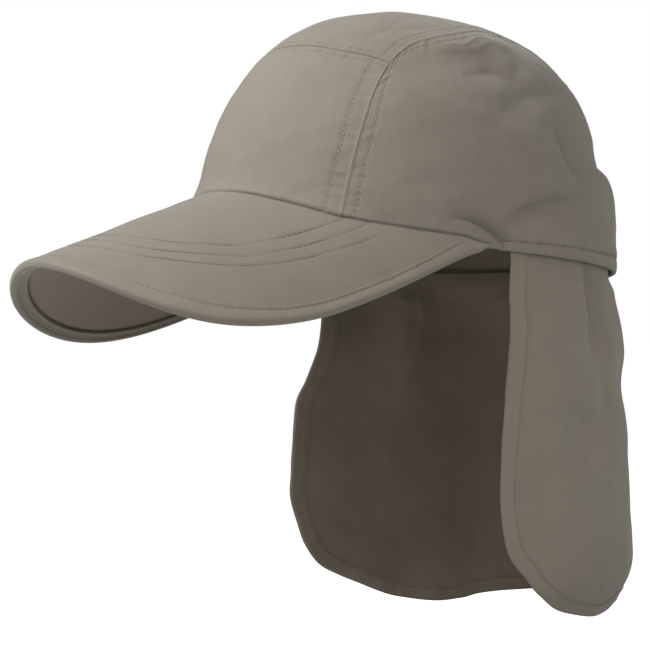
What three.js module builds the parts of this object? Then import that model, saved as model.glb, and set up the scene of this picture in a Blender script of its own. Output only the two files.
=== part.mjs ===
// Desert cap: a soft crown of four panels, a long curved bill with a turned edge, a rolled
// hem round the back of the opening, and a neck flap with a folded hem of its own.
//
// Millimetres. X points to the wearer's left, Y to the back and Z up. The origin is the
// middle of the head opening, level with the two ends of the bill, where a head carries it.
import * as THREE from 'three';

// Turns a list of columns and a list of rows into rows with named fields.
const table = (columns, rows) =>
  rows.map((row) => Object.fromEntries(columns.map((column, index) => [column, row[index]])));

// Crown: a dome over the oval of a head. From the rim to the top its reach and its height,
// as shares, follow reach^out + height^up = 1. The exponents change round the crown.
const CROWN = {
  halfWidth: 85.3,
  front: 95.8,
  rear: 100.3,
  centreY: 0.4,
  rimZ: -2,
  height: 114.3,
  out: { front: 2.66, side: 2.36, rear: 2.0 },
  up: { front: 1.97, side: 2.24, rear: 4.05 },
};

// Thickness of each layer, and the clearance kept between two pieces.
const CLOTH = { crown: 1.2, flap: 1.2, flapHem: 2.0, bill: 3.2, gap: 0.3 };

// Bill: a sheet rolled round a sloping axis. Its outline in the flat sheet is a squared
// oval, and `rootY` and `rootZ` place the sheet's middle line under the crown.
const BILL = {
  halfWidth: 113,
  length: 169.5,
  sideExponent: 2.13,
  frontExponent: 4.83,
  rollRadius: 95,
  pitch: THREE.MathUtils.degToRad(23.05),
  rootY: -26.2,
  rootZ: 54.8,
  edgeBand: 8,
  edgeShare: 0.55,
  edgeThickness: 4.4,
  edgeRound: { inward: 0.7, deep: 0.6 },
  endTurn: 88,
  endThickness: 1.0,
  taperTurn: 60,
  rootGap: 0.5,
  crest: { lift: 3, from: 70, reach: 70, rounding: 0.7 },
};

// The front panel's foot spreads out where it meets the bill.
const FLARE = { stand: 2, height: 5, fadeFrom: 42, fadeTo: 68 };

// Rear hem: a rolled band from one end of the bill round the back to the other.
const HEM = { startTurn: 90, top: 1.5, thickness: 2.6, stand: 0.5, roundOut: 0.6, roundUp: 0.4 };

// The hem's lower edge, by turn round the crown (0 at the front, 180 at the back).
const HEM_DROP = table(
  ['turn', 'bottom'],
  [
    [90, -2.2],
    [105, -2.8],
    [125, -4.0],
    [145, -5.2],
    [180, -6.0],
  ],
);

// Seams of the crown, as turn from the front and tilt from the top, in degrees.
const FRONT_SEAM = table(
  ['turn', 'tilt'],
  [
    [0, 33.4],
    [11.2, 33.8],
    [25.0, 35.5],
    [39.2, 38.8],
    [51.8, 42.0],
    [60.1, 45.1],
  ],
);
const SIDE_SEAM = table(
  ['turn', 'tilt'],
  [
    [50.0, 73.4],
    [52.9, 62.5],
    [54.9, 55.6],
    [60.1, 45.1],
  ],
);
const STRIP_SEAM = table(
  ['turn', 'tilt'],
  [
    [60.1, 45.1],
    [64.9, 40.5],
    [70.0, 36.9],
    [80.7, 33.7],
    [92.6, 31.1],
    [101.8, 29.2],
    [111.5, 28.0],
    [122.2, 28.3],
    [134.7, 32.2],
    [145.1, 39.4],
    [152.2, 48.9],
    [157.0, 61.7],
  ],
);
const SIDE_SEAM_FOOT = 47.4;
const STRIP_SEAM_FOOT = 159.5;

// Rough sizes of the crown's panels, which turn the seam gap into a share of a panel.
const PANEL_SIZE = {
  front: { length: 70, height: 40 },
  side: { length: 80, height: 50 },
  top: { length: 40, height: 120 },
};

// Puffed cloth above the rear hem: the height of the crease over it, and how far it stands out.
const PUFF = table(
  ['turn', 'crease', 'stand'],
  [
    [80, 2, 0.0],
    [90, 5, 0.0],
    [95, 12, 1.4],
    [102, 19, 2.8],
    [112, 24, 4.4],
    [119, 28, 5.2],
    [134, 38, 6.2],
    [150, 42.5, 6.8],
    [180, 44, 6.4],
  ],
);
const PUFF_ROUNDING = 6;

// Dip of the cloth over that crease: its depth as a share of the puff's stand.
const PUFF_DIP = { share: 0.16, above: 5, reach: 6 };

// Folds of the crown's two sides, drawn on the side view. Each runs from (y0, z0) to
// (y1, z1), reaches that far to each side and lifts the cloth that much (a crease sinks it).
// Side 1 is the left and -1 the right.
const CROWN_FOLDS = table(
  ['side', 'y0', 'z0', 'y1', 'z1', 'reach', 'lift'],
  [
    [1, -14, 91, 26, 95, 6, 1.0],
    [1, -16, 84, 14, 87, 7, -0.9],
    [1, -6, 77, 13, 80, 6, -1.3],
    [1, 13, 80, 25, 75, 6, -1.2],
    [1, 23, 78, 34, 86, 7, -1.2],
    [1, 10, 59, 27, 70, 7, -1.5],
    [1, 27, 70, 62, 77, 8, -1.5],
    [1, -36, 68, 40, 45, 8, 1.3],
    [1, -34, 59, 46, 26, 8, 0.9],
    [1, 46, 51, 60, 37, 8, -2.4],
    [1, 2, 8, 46, 25, 7, -1.1],
    [1, -18, 11, -4, 9, 6, -1.1],
    [1, -4, 9, 2, 3, 6, -1.0],
    [-1, -12, 90, 28, 95, 7, 1.0],
    [-1, 8, 62, 44, 76, 8, -1.4],
    [-1, -34, 66, 40, 46, 9, 1.2],
    [-1, 44, 50, 62, 38, 8, -2.0],
    [-1, 4, 9, 42, 24, 7, -1.1],
  ],
);

// Soft dents and ridges of the top strip and the front panel, drawn on the plan.
const TOP_FOLDS = table(
  ['x0', 'y0', 'x1', 'y1', 'reach', 'lift'],
  [
    [44, -30, 20, -8, 8, 1.2],
    [28, -34, 6, -26, 7, -0.8],
    [-44, -26, -18, -10, 8, 1.0],
    [-30, 20, -34, 44, 9, -0.9],
    [46, -62, 52, -50, 8, -0.7],
    [-46, -62, -52, -50, 8, -0.7],
  ],
);

// The side folds fade out over these distances from the middle, and the others over these heights.
const FOLD_FADE = { sideFrom: 20, sideTo: 45, planFrom: 45, planTo: 75 };

// Neck flap: the half-width and the depth behind the origin of its level sections.
const FLAP_SECTIONS = table(
  ['z', 'halfWidth', 'rear'],
  [
    [-7, 83.0, 98.0],
    [-14.5, 83.6, 101.2],
    [-26, 84, 105.4],
    [-39, 84.5, 108.0],
    [-54, 87.5, 108.2],
    [-68, 90, 108.0],
    [-84, 90, 108.2],
    [-110, 90, 109.2],
    [-125, 90, 111],
    [-137, 89.5, 111.8],
    [-146, 88.5, 109.6],
    [-152, 86.5, 107.0],
    [-158, 83, 104.6],
    [-165, 81, 102.6],
  ],
);
const FLAP = {
  exponent: 2.3,
  startAngle: -0.12,
  baseHalfWidth: 88,
  baseRear: 106,
  top: -0.6,
  free: -8,
  loose: -16,
  tuck: 0.45,
  hemBand: 8,
  hemStand: 0.4,
  hemGap: 0.5,
  middleReach: 20,
};

// The flap's free edge: at each height, how far behind the side line the left and the right
// edge lie, measured along the cloth. `corner` marks where the front edge turns under.
const FLAP_EDGE = table(
  ['z', 'left', 'right', 'corner'],
  [
    [-0.6, 9, 9, false],
    [-19, 9, 9, false],
    [-37, 9, 7, false],
    [-54, 4, 2, false],
    [-65, 2, -2, false],
    [-84, 0, -4, false],
    [-100, -1, -5, false],
    [-112, 1, -5, false],
    [-125, 4, -1, false],
    [-136, 9, 3, false],
    [-145, 19, 10, false],
    [-151.4, 30, 22, true],
    [-158.9, 45, 41, false],
    [-161.9, 57, 55, false],
    [-163.3, 71.5, 70, false],
    [-161.9, 84, 83, false],
    [-158.5, 100, 100, false],
  ],
);
const FLAP_REAR_EDGE = -155;

// Folds of the flap, on its cloth: distance behind the side line and height of both ends.
const FLAP_FOLDS = table(
  ['side', 'm0', 'z0', 'm1', 'z1', 'reach', 'lift'],
  [
    [1, 54, -6, 50, -46, 8, 1.6],
    [1, 71, -4, 66, -40, 11, -3.6],
    [1, 114, -56, 80, -66, 11, -3.0],
    [1, 80, -66, 50, -82, 11, -2.4],
    [1, 50, -82, 28, -110, 12, -1.8],
    [1, 30, -56, 34, -120, 14, 1.4],
    [1, 104, -8, 116, -40, 12, 2.0],
    [1, 112, -86, 118, -140, 16, 1.8],
    [1, 136, -8, 134, -120, 13, -2.4],
    [-1, 60, -6, 54, -60, 11, -2.6],
    [-1, 36, -20, 34, -120, 14, 1.4],
    [-1, 90, -8, 84, -120, 14, 2.0],
    [-1, 120, -6, 124, -100, 13, -2.4],
    [1, 152, -12, 156, -130, 12, 1.6],
  ],
);

// Facets along and across each piece.
const GRID = {
  panelRows: 13,
  sideColumns: 24,
  topColumns: 12,
  frontColumns: 14,
  billColumns: 40,
  billRows: 6,
  bandSides: 8,
  hemColumns: 40,
  hemSides: 8,
  flapColumns: 34,
  flapRows: 18,
  flapHemColumns: 76,
};

const FINISH = {
  crown: { color: 0x8b8373, roughness: 0.82 },
  bill: { color: 0x8f8777, roughness: 0.8 },
  hem: { color: 0x7d7567, roughness: 0.85 },
  flap: { color: 0x817969, roughness: 0.85 },
  band: { color: 0x857d6e, roughness: 0.83 },
};

// Small steps that measure a surface's direction: on the crown's chart, and on the flap in mm.
const STEP = { chart: 0.004, chartLimit: 0.985, flap: 0.8 };

const { degToRad, radToDeg, clamp, lerp, smoothstep } = THREE.MathUtils;
const power = (value, exponent) => Math.sign(value) * Math.abs(value) ** exponent;

// Value of one column of a table at a key, on a smooth curve through its rows.
function valueAt(rows, keyColumn, column, key) {
  const rising = rows[0][keyColumn] < rows[rows.length - 1][keyColumn];
  const ordered = rising ? rows : [...rows].reverse();
  const next = ordered.findIndex((row) => row[keyColumn] >= key);
  if (next === 0) return ordered[0][column];
  if (next < 0) return ordered[ordered.length - 1][column];
  const [low, high] = [ordered[next - 1], ordered[next]];
  const share = (key - low[keyColumn]) / (high[keyColumn] - low[keyColumn]);
  const slope = (index) => {
    const [before, after] = [ordered[index - 1], ordered[index + 1]];
    if (!before || !after) return 0;
    return (after[column] - before[column]) / (after[keyColumn] - before[keyColumn]);
  };
  const span = high[keyColumn] - low[keyColumn];
  const [s2, s3] = [share ** 2, share ** 3];
  return (
    (2 * s3 - 3 * s2 + 1) * low[column] +
    (s3 - 2 * s2 + share) * span * slope(next - 1) +
    (3 * s2 - 2 * s3) * high[column] +
    (s3 - s2) * span * slope(next)
  );
}

// Root of a function that changes sign between two values.
function bisect(low, high, difference) {
  const lowSign = Math.sign(difference(low));
  for (let step = 0; step < 40; step += 1) {
    const middle = (low + high) / 2;
    if (Math.sign(difference(middle)) === lowSign) low = middle;
    else high = middle;
  }
  return (low + high) / 2;
}

// Lift of the cloth from a list of folds, each a straight ridge with soft flanks.
function foldLift(folds, pointOf, ends) {
  return folds.reduce((sum, fold) => {
    const [a, b] = ends(fold);
    const along = new THREE.Line3(a, b).closestPointToPoint(pointOf, true, new THREE.Vector3());
    return sum + fold.lift * Math.exp(-((pointOf.distanceTo(along) / fold.reach) ** 2));
  }, 0);
}

// Exponent of the crown between its side value and its front or rear value.
function crownExponent(values, turnCos) {
  const end = turnCos > 0 ? values.front : values.rear;
  return values.side + (end - values.side) * turnCos ** 2;
}

// Point of the bare dome at a turn from the front and a tilt from the top, in radians.
function domePoint(turn, tilt) {
  const [sin, cos] = [Math.sin(turn), Math.cos(turn)];
  const reach = Math.sin(tilt) ** (2 / crownExponent(CROWN.out, cos));
  const lift = Math.max(Math.cos(tilt), 0) ** (2 / crownExponent(CROWN.up, cos));
  return new THREE.Vector3(
    CROWN.halfWidth * sin * reach,
    CROWN.centreY - (cos > 0 ? CROWN.front : CROWN.rear) * cos * reach,
    CROWN.rimZ + CROWN.height * lift,
  );
}

// Tilt at which the dome is at a height, at one turn.
function domeTilt(turn, z) {
  const share = clamp((z - CROWN.rimZ) / CROWN.height, 0, 1);
  return Math.acos(share ** (crownExponent(CROWN.up, Math.cos(turn)) / 2));
}

// The crown's chart: the dome seen from the top, with the tilt as distance from the middle.
const chartPoint = (turn, tilt) =>
  new THREE.Vector2(Math.sin(turn), -Math.cos(turn)).multiplyScalar(tilt / (Math.PI / 2));
const chartTurn = (chart) => Math.atan2(chart.x, -chart.y);
const chartTilt = (chart) => Math.min(chart.length(), 1) * (Math.PI / 2);
const chartDome = (chart) => domePoint(chartTurn(chart), chartTilt(chart));

// Outward direction of the dome, from small steps on the chart.
function domeNormal(chart) {
  const middle = chart.clone().clampLength(0, STEP.chartLimit);
  const at = (dx, dy) => chartDome(middle.clone().add(new THREE.Vector2(dx, dy)));
  const across = at(STEP.chart, 0).sub(at(-STEP.chart, 0));
  const back = at(0, STEP.chart).sub(at(0, -STEP.chart));
  return across.cross(back).normalize();
}

// How far the cloth stands out of the bare dome: the puff above the hem and all folds.
function crownRelief(turn, base) {
  const degrees = Math.abs(radToDeg(turn));
  const below = valueAt(PUFF, 'turn', 'crease', degrees) - base.z;
  const stand = valueAt(PUFF, 'turn', 'stand', degrees);
  const puff = below > 0 ? stand * (1 - Math.exp(-below / PUFF_ROUNDING)) : 0;
  const dip = stand * PUFF_DIP.share * Math.exp(-(((below + PUFF_DIP.above) / PUFF_DIP.reach) ** 2));
  const side = Math.sign(base.x);
  const sideView = new THREE.Vector3(0, base.y, base.z);
  const sideFolds = CROWN_FOLDS.filter((fold) => fold.side === side);
  const sides = foldLift(sideFolds, sideView, (fold) => [
    new THREE.Vector3(0, fold.y0, fold.z0),
    new THREE.Vector3(0, fold.y1, fold.z1),
  ]);
  const plan = foldLift(TOP_FOLDS, new THREE.Vector3(base.x, base.y, 0), (fold) => [
    new THREE.Vector3(fold.x0, fold.y0, 0),
    new THREE.Vector3(fold.x1, fold.y1, 0),
  ]);
  const sideShare = smoothstep(Math.abs(base.x), FOLD_FADE.sideFrom, FOLD_FADE.sideTo);
  const planShare = smoothstep(base.z, FOLD_FADE.planFrom, FOLD_FADE.planTo);
  return puff - dip + flare(turn, base.z) + sides * sideShare + plan * planShare;
}

// How far the front panel's foot spreads at a turn and a height.
function flare(turn, z) {
  const share = 1 - smoothstep(Math.abs(radToDeg(turn)), FLARE.fadeFrom, FLARE.fadeTo);
  if (share === 0) return 0;
  const above = Math.max(z - billSeamZ(turn), 0);
  return share * FLARE.stand * Math.exp(-above / FLARE.height);
}

// Point of the crown cloth over a chart position, sunk below its outer face by a depth.
function crownPoint(chart, depth = 0) {
  const base = chartDome(chart);
  const relief = crownRelief(chartTurn(chart), base);
  return base.addScaledVector(domeNormal(chart), relief - depth);
}

// Point of the bill's upper face, from its place in the flat sheet, sunk by a depth.
function billPoint(across, forward, depth = 0) {
  const angle = across / BILL.rollRadius;
  const radius = BILL.rollRadius - depth;
  const drop = BILL.rollRadius - radius * Math.cos(angle);
  const [sin, cos] = [Math.sin(BILL.pitch), Math.cos(BILL.pitch)];
  return new THREE.Vector3(
    radius * Math.sin(angle),
    BILL.rootY - forward * cos + drop * sin,
    BILL.rootZ - forward * sin - drop * cos + billCrest(across, forward),
  );
}

// Rise of the bill along its middle line, from none at the root.
function billCrest(across, forward) {
  const { lift, from, reach, rounding } = BILL.crest;
  const share = clamp((forward - from) / (BILL.length - from), 0, 1);
  const fade = Math.cos((Math.PI / 2) * clamp(across / reach, -1, 1)) ** 2;
  return lift * share ** rounding * fade;
}

// Place in the flat sheet of the point at given X and Y of a face of the bill.
function billPlace(x, y, depth = 0) {
  const radius = BILL.rollRadius - depth;
  const angle = Math.asin(clamp(x / radius, -1, 1));
  const drop = BILL.rollRadius - radius * Math.cos(angle);
  const forward = (BILL.rootY + drop * Math.sin(BILL.pitch) - y) / Math.cos(BILL.pitch);
  return new THREE.Vector2(angle * BILL.rollRadius, forward);
}

// Height at which a face of the bill, at a depth under its upper one, meets the crown, or
// meets the crown's wall carried straight down below the rim.
function billSeamZ(turn, depth = 0) {
  const aboveBill = (z) => {
    const onCrown = domePoint(turn, domeTilt(turn, z));
    const place = billPlace(onCrown.x, onCrown.y, depth);
    return z - billPoint(place.x, place.y, depth).z;
  };
  return bisect(CROWN.rimZ - 20, CROWN.height / 2, aboveBill);
}

// Thickness of the bill at its root: full in front and thin where the ends run into the crown.
function billThickness(turn) {
  const share = smoothstep(Math.abs(radToDeg(turn)), BILL.taperTurn, BILL.endTurn);
  return lerp(CLOTH.bill, BILL.endThickness, share);
}

// Lower edge of the crown cloth: behind the bill's root in front, on the hem behind.
function crownFootZ(turn) {
  const degrees = Math.abs(radToDeg(turn));
  if (degrees >= HEM.startTurn) return HEM.top + CLOTH.gap;
  const behindBill = Math.max(billSeamZ(turn, billThickness(turn)), CROWN.rimZ + 0.2);
  return lerp(behindBill, HEM.top + CLOTH.gap, smoothstep(degrees, BILL.endTurn - 10, BILL.endTurn - 2));
}

const crownFoot = (turn) => chartPoint(turn, domeTilt(turn, crownFootZ(turn)));

// Seam as a smooth curve on the chart, on the left (side 1) or the right (side -1).
function seamCurve(rows, side) {
  return new THREE.SplineCurve(
    rows.map((row) => chartPoint(side * degToRad(row.turn), degToRad(row.tilt))),
  );
}

function footRow(degrees) {
  const turn = degToRad(degrees);
  return { turn: degrees, tilt: radToDeg(domeTilt(turn, crownFootZ(turn))) };
}

const sideSeam = (side) => seamCurve([footRow(SIDE_SEAM_FOOT), ...SIDE_SEAM], side);
const stripSeam = (side) => seamCurve([...STRIP_SEAM, footRow(STRIP_SEAM_FOOT)], side);

// Whole front seam, from the right corner over the middle to the left one.
function frontSeam() {
  const left = FRONT_SEAM.map((row) => chartPoint(degToRad(row.turn), degToRad(row.tilt)));
  const right = left.slice(1).reverse();
  return new THREE.SplineCurve([...right.map((p) => new THREE.Vector2(-p.x, p.y)), ...left]);
}

// Patch between four edge curves that share their corners: u runs along bottom and top,
// v along start and end.
function fourEdgePatch({ bottom, top, start, end }) {
  const corners = [start(0), end(0), start(1), end(1)];
  return (u, v) => {
    const along = bottom(u).multiplyScalar(1 - v).add(top(u).multiplyScalar(v));
    const across = start(v).multiplyScalar(1 - u).add(end(v).multiplyScalar(u));
    const shared = new THREE.Vector2()
      .addScaledVector(corners[0], (1 - u) * (1 - v))
      .addScaledVector(corners[1], u * (1 - v))
      .addScaledVector(corners[2], (1 - u) * v)
      .addScaledVector(corners[3], u * v);
    return along.add(across).sub(shared);
  };
}

// Closed wall between an outer and an inner grid of points. Faces look out of the wall.
function wallGeometry(columns, rows, outerAt, innerAt) {
  const points = [];
  for (const at of [outerAt, innerAt]) {
    for (let j = 0; j <= rows; j += 1) {
      for (let i = 0; i <= columns; i += 1) points.push(at(i / columns, j / rows));
    }
  }
  const layer = (columns + 1) * (rows + 1);
  const outer = (i, j) => j * (columns + 1) + i;
  const inner = (i, j) => layer + outer(i, j);
  const faces = [];
  const quad = (a, b, c, d) => faces.push([a, b, c], [a, c, d]);
  for (let j = 0; j < rows; j += 1) {
    for (let i = 0; i < columns; i += 1) {
      quad(outer(i, j), outer(i + 1, j), outer(i + 1, j + 1), outer(i, j + 1));
      quad(inner(i, j), inner(i, j + 1), inner(i + 1, j + 1), inner(i + 1, j));
    }
  }
  for (let i = 0; i < columns; i += 1) {
    quad(inner(i, 0), inner(i + 1, 0), outer(i + 1, 0), outer(i, 0));
    quad(outer(i, rows), outer(i + 1, rows), inner(i + 1, rows), inner(i, rows));
  }
  for (let j = 0; j < rows; j += 1) {
    quad(inner(0, j + 1), inner(0, j), outer(0, j), outer(0, j + 1));
    quad(inner(columns, j), inner(columns, j + 1), outer(columns, j + 1), outer(columns, j));
  }
  return closedGeometry(points, faces);
}

// Closed band from rings of points, each ring the section at one station, capped at both ends.
function bandGeometry(rings) {
  const sides = rings[0].length;
  const points = rings.flat();
  const faces = [];
  for (let i = 0; i + 1 < rings.length; i += 1) {
    for (let k = 0; k < sides; k += 1) {
      const next = (k + 1) % sides;
      const [a, b] = [i * sides + k, i * sides + next];
      faces.push([a, b, b + sides], [a, b + sides, a + sides]);
    }
  }
  const last = (rings.length - 1) * sides;
  for (let k = 1; k + 1 < sides; k += 1) {
    faces.push([0, k + 1, k], [last, last + k, last + k + 1]);
  }
  return closedGeometry(points, faces);
}

// Geometry of a closed body, turned right side out by the sign of its volume.
function closedGeometry(points, faces) {
  const volume = faces.reduce((sum, [a, b, c]) => {
    return sum + points[a].dot(points[b].clone().cross(points[c]));
  }, 0);
  const outward = volume > 0 ? faces : faces.map(([a, b, c]) => [a, c, b]);
  const geometry = new THREE.BufferGeometry();
  geometry.setAttribute(
    'position',
    new THREE.Float32BufferAttribute(points.flatMap((p) => p.toArray()), 3),
  );
  geometry.setIndex(outward.flat());
  geometry.computeVertexNormals();
  return geometry;
}

function piece(name, geometry, finish) {
  const material = new THREE.MeshStandardMaterial({ ...finish, metalness: 0 });
  const mesh = new THREE.Mesh(geometry, material);
  mesh.name = name;
  return mesh;
}

// Shrinks a share of a patch so that its seam edge keeps half a gap, given its length in mm.
const insetShare = (share, length) => lerp(CLOTH.gap / 2 / length, 1 - CLOTH.gap / 2 / length, share);

// One panel of the crown from its four edge curves. Its foot keeps no seam gap.
function crownPanel(name, columns, rows, edges, { length, height }) {
  const patch = fourEdgePatch(edges);
  const rise = 1 - CLOTH.gap / 2 / height;
  const place = (u, v) => patch(insetShare(u, length), v * rise);
  const geometry = wallGeometry(
    columns,
    rows,
    (u, v) => crownPoint(place(u, v)),
    (u, v) => crownPoint(place(u, v), CLOTH.crown),
  );
  return piece(name, geometry, FINISH.crown);
}

function frontPanel() {
  const seam = frontSeam();
  const [right, left] = [sideSeam(-1), sideSeam(1)];
  const footTurn = (u) => degToRad(lerp(-SIDE_SEAM_FOOT, SIDE_SEAM_FOOT, u));
  return crownPanel(
    'front_panel',
    GRID.frontColumns,
    GRID.panelRows,
    {
      bottom: (u) => crownFoot(footTurn(u)),
      top: (u) => seam.getPointAt(u),
      start: (v) => right.getPointAt(v),
      end: (v) => left.getPointAt(v),
    },
    PANEL_SIZE.front,
  );
}

// Share of the strip seam that borders a side panel's top edge. The rest is its rear edge.
const TOP_EDGE_SHARE = GRID.sideColumns / (GRID.sideColumns + GRID.panelRows);

function sidePanel(name, side) {
  const front = sideSeam(side);
  const strip = stripSeam(side);
  const footTurn = (u) => side * degToRad(lerp(SIDE_SEAM_FOOT, STRIP_SEAM_FOOT, u));
  return crownPanel(
    name,
    GRID.sideColumns,
    GRID.panelRows,
    {
      bottom: (u) => crownFoot(footTurn(u)),
      top: (u) => strip.getPointAt(u * TOP_EDGE_SHARE),
      start: (v) => front.getPointAt(v),
      end: (v) => strip.getPointAt(1 - v * (1 - TOP_EDGE_SHARE)),
    },
    PANEL_SIZE.side,
  );
}

function topPanel() {
  const seam = frontSeam();
  const [right, left] = [stripSeam(-1), stripSeam(1)];
  const rearTurn = (u) => wrapTurn(degToRad(lerp(360 - STRIP_SEAM_FOOT, STRIP_SEAM_FOOT, u)));
  return crownPanel(
    'top_panel',
    GRID.topColumns,
    GRID.sideColumns + GRID.panelRows,
    {
      bottom: (u) => crownFoot(rearTurn(u)),
      top: (u) => seam.getPointAt(u),
      start: (v) => right.getPointAt(1 - v),
      end: (v) => left.getPointAt(1 - v),
    },
    PANEL_SIZE.top,
  );
}

// Turn brought between minus half a circle and half a circle.
const wrapTurn = (turn) => Math.atan2(Math.sin(turn), Math.cos(turn));

// Outer face of the crown at the rim, and the level direction that looks out of it.
function rimPoint(turn) {
  const chart = chartPoint(turn, domeTilt(turn, HEM.top));
  const normal = domeNormal(chart).setZ(0).normalize();
  return { point: crownPoint(chart), normal };
}

// Rolled hem: a rounded section as tall as the hem, carried round the back of the rim.
function rearHem() {
  const rings = [];
  for (let i = 0; i <= GRID.hemColumns; i += 1) {
    const degrees = lerp(HEM.startTurn, 360 - HEM.startTurn, i / GRID.hemColumns);
    const { point, normal } = rimPoint(wrapTurn(degToRad(degrees)));
    const bottom = valueAt(HEM_DROP, 'turn', 'bottom', Math.min(degrees, 360 - degrees));
    const middle = point.addScaledVector(normal, HEM.stand - HEM.thickness / 2);
    middle.setZ((HEM.top + bottom) / 2);
    const ring = [];
    for (let k = 0; k < GRID.hemSides; k += 1) {
      const angle = ((k + 0.5) / GRID.hemSides) * Math.PI * 2;
      const out = (HEM.thickness / 2) * power(Math.cos(angle), HEM.roundOut);
      const rise = ((HEM.top - bottom) / 2) * power(Math.sin(angle), HEM.roundUp);
      ring.push(middle.clone().addScaledVector(normal, out).add(new THREE.Vector3(0, 0, rise)));
    }
    rings.push(ring);
  }
  return piece('rear_hem', bandGeometry(rings), FINISH.hem);
}

// Place in the flat sheet where a face of the bill clears the crown's outer face.
function billRoot(turn, depth) {
  const z = billSeamZ(turn, depth);
  const clear = domePoint(turn, domeTilt(turn, z));
  const normal = domeNormal(chartPoint(turn, domeTilt(turn, z))).setZ(0).normalize();
  clear.addScaledVector(normal, BILL.rootGap + flare(turn, z));
  return billPlace(clear.x, clear.y, depth);
}

// Outer edge of the flat bill sheet, from the right end over the front to the left end.
function billEdge(share) {
  const angle = lerp(-Math.PI / 2, Math.PI / 2, share);
  return new THREE.Vector2(
    BILL.halfWidth * power(Math.sin(angle), 2 / BILL.sideExponent),
    BILL.length * power(Math.max(Math.cos(angle), 0), 2 / BILL.frontExponent),
  );
}

// Turn of the bill's root at a share of the way from its right end to its left one.
const billTurn = (share) => degToRad(lerp(-BILL.endTurn, BILL.endTurn, share));

// Outer edge of the flat sheet as an evenly spaced curve that ends level with the root.
function billEdgeCurve() {
  const steps = 60;
  const points = Array.from({ length: steps + 1 }, (_, index) => billEdge(index / steps));
  for (const end of [0, 1]) points[end * steps].y = billRoot(billTurn(end), 0).y;
  return new THREE.SplineCurve(points);
}

// One line of the bill, from root to edge: its two ends, the turned edge's width and the
// board's thickness there.
function billLine(edge, share) {
  const root = billRoot(billTurn(share), 0);
  const outer = edge.getPointAt(share);
  const room = root.distanceTo(outer);
  const width = Math.min(BILL.edgeBand, room * BILL.edgeShare);
  return { root, outer, room, width, thickness: billThickness(billTurn(share)) };
}

function billBoard(edge) {
  const face = (deep) => (u, v) => {
    const line = billLine(edge, u);
    const depth = deep * line.thickness;
    const rim = line.root.lerp(line.outer, 1 - (line.width + CLOTH.gap) / line.room);
    const place = billRoot(billTurn(u), depth).lerp(rim, v);
    return billPoint(place.x, place.y, depth);
  };
  const geometry = wallGeometry(GRID.billColumns, GRID.billRows, face(0), face(1));
  return piece('bill', geometry, FINISH.bill);
}

// Turned edge of the bill: a band with a full outer roll, from end to end.
function billBand(edge) {
  const swell = BILL.edgeThickness / CLOTH.bill;
  const rings = [];
  for (let i = 0; i <= GRID.billColumns; i += 1) {
    const line = billLine(edge, i / GRID.billColumns);
    const ring = [];
    for (let k = 0; k < GRID.bandSides; k += 1) {
      const angle = ((k + 0.5) / GRID.bandSides) * Math.PI * 2;
      const inward = (line.width / 2) * (1 - power(Math.cos(angle), BILL.edgeRound.inward));
      const depth = (line.thickness / 2) * (1 - swell * power(Math.sin(angle), BILL.edgeRound.deep));
      const place = line.outer.clone().lerp(line.root, inward / line.room);
      ring.push(billPoint(place.x, place.y, depth));
    }
    rings.push(ring);
  }
  return piece('bill_edge', bandGeometry(rings), FINISH.band);
}

// Level section of the flap, from just before the side line round to the middle of the back,
// measured along the cloth.
class FlapSection extends THREE.Curve {
  getPoint(share, target = new THREE.Vector3()) {
    const angle = lerp(FLAP.startAngle, Math.PI / 2, share);
    const exponent = 2 / FLAP.exponent;
    const [out, back] = [power(Math.cos(angle), exponent), power(Math.sin(angle), exponent)];
    return target.set(out * FLAP.baseHalfWidth, back * FLAP.baseRear, 0);
  }
}
const flapSection = new FlapSection();
flapSection.arcLengthDivisions = 400;
const SECTION_LENGTH = flapSection.getLength();
const SECTION_START = SECTION_LENGTH * lengthShareAtSideLine();
const QUARTER = SECTION_LENGTH - SECTION_START;

// Share of the section's length that lies before the side line.
function lengthShareAtSideLine() {
  return bisect(0, 0.5, (share) => flapSection.getPointAt(share).y);
}

// Point of the flap's outer face: `behind` runs along the cloth from the side line.
function flapFace(side, behind, z) {
  const share = clamp((behind + SECTION_START) / SECTION_LENGTH, 0, 1);
  const base = flapSection.getPointAt(share);
  const [out, back] = [base.x / FLAP.baseHalfWidth, base.y / FLAP.baseRear];
  const halfWidth = valueAt(FLAP_SECTIONS, 'z', 'halfWidth', z);
  const rear = valueAt(FLAP_SECTIONS, 'z', 'rear', z);
  const free = new THREE.Vector3(side * out * halfWidth, back * rear, z);
  const turn = side * (Math.PI / 2 + Math.atan2(back, out));
  const { point, normal } = rimPoint(wrapTurn(turn));
  const sewn = point.addScaledVector(normal, HEM.stand - HEM.thickness - FLAP.tuck).setZ(z);
  return sewn.lerp(free, smoothstep(-z, -FLAP.top, -FLAP.free));
}

// Share of the flap's own form at a height: none where it is sewn in, all where it hangs.
const hanging = (z) => smoothstep(-z, -HEM_DROP[HEM_DROP.length - 1].bottom, -FLAP.loose);

// Flap cloth in one run: `around` is zero at the middle of the back and grows to the left.
function flapPoint(place, depth) {
  const at = (around, z) => flapFace(around < 0 ? -1 : 1, QUARTER - Math.abs(around), z);
  const across = at(place.x + STEP.flap, place.y).sub(at(place.x - STEP.flap, place.y));
  const up = at(place.x, place.y + STEP.flap).sub(at(place.x, place.y - STEP.flap));
  const normal = up.cross(across).normalize();
  const side = place.x < 0 ? -1 : 1;
  const behind = QUARTER - Math.abs(place.x);
  const folds = foldLift(
    FLAP_FOLDS.filter((fold) => fold.side === side || fold.m0 > QUARTER - FLAP.middleReach),
    new THREE.Vector3(behind, place.y, 0),
    (fold) => [new THREE.Vector3(fold.m0, fold.z0, 0), new THREE.Vector3(fold.m1, fold.z1, 0)],
  );
  return at(place.x, place.y).addScaledVector(normal, folds * hanging(place.y) - depth);
}

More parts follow.
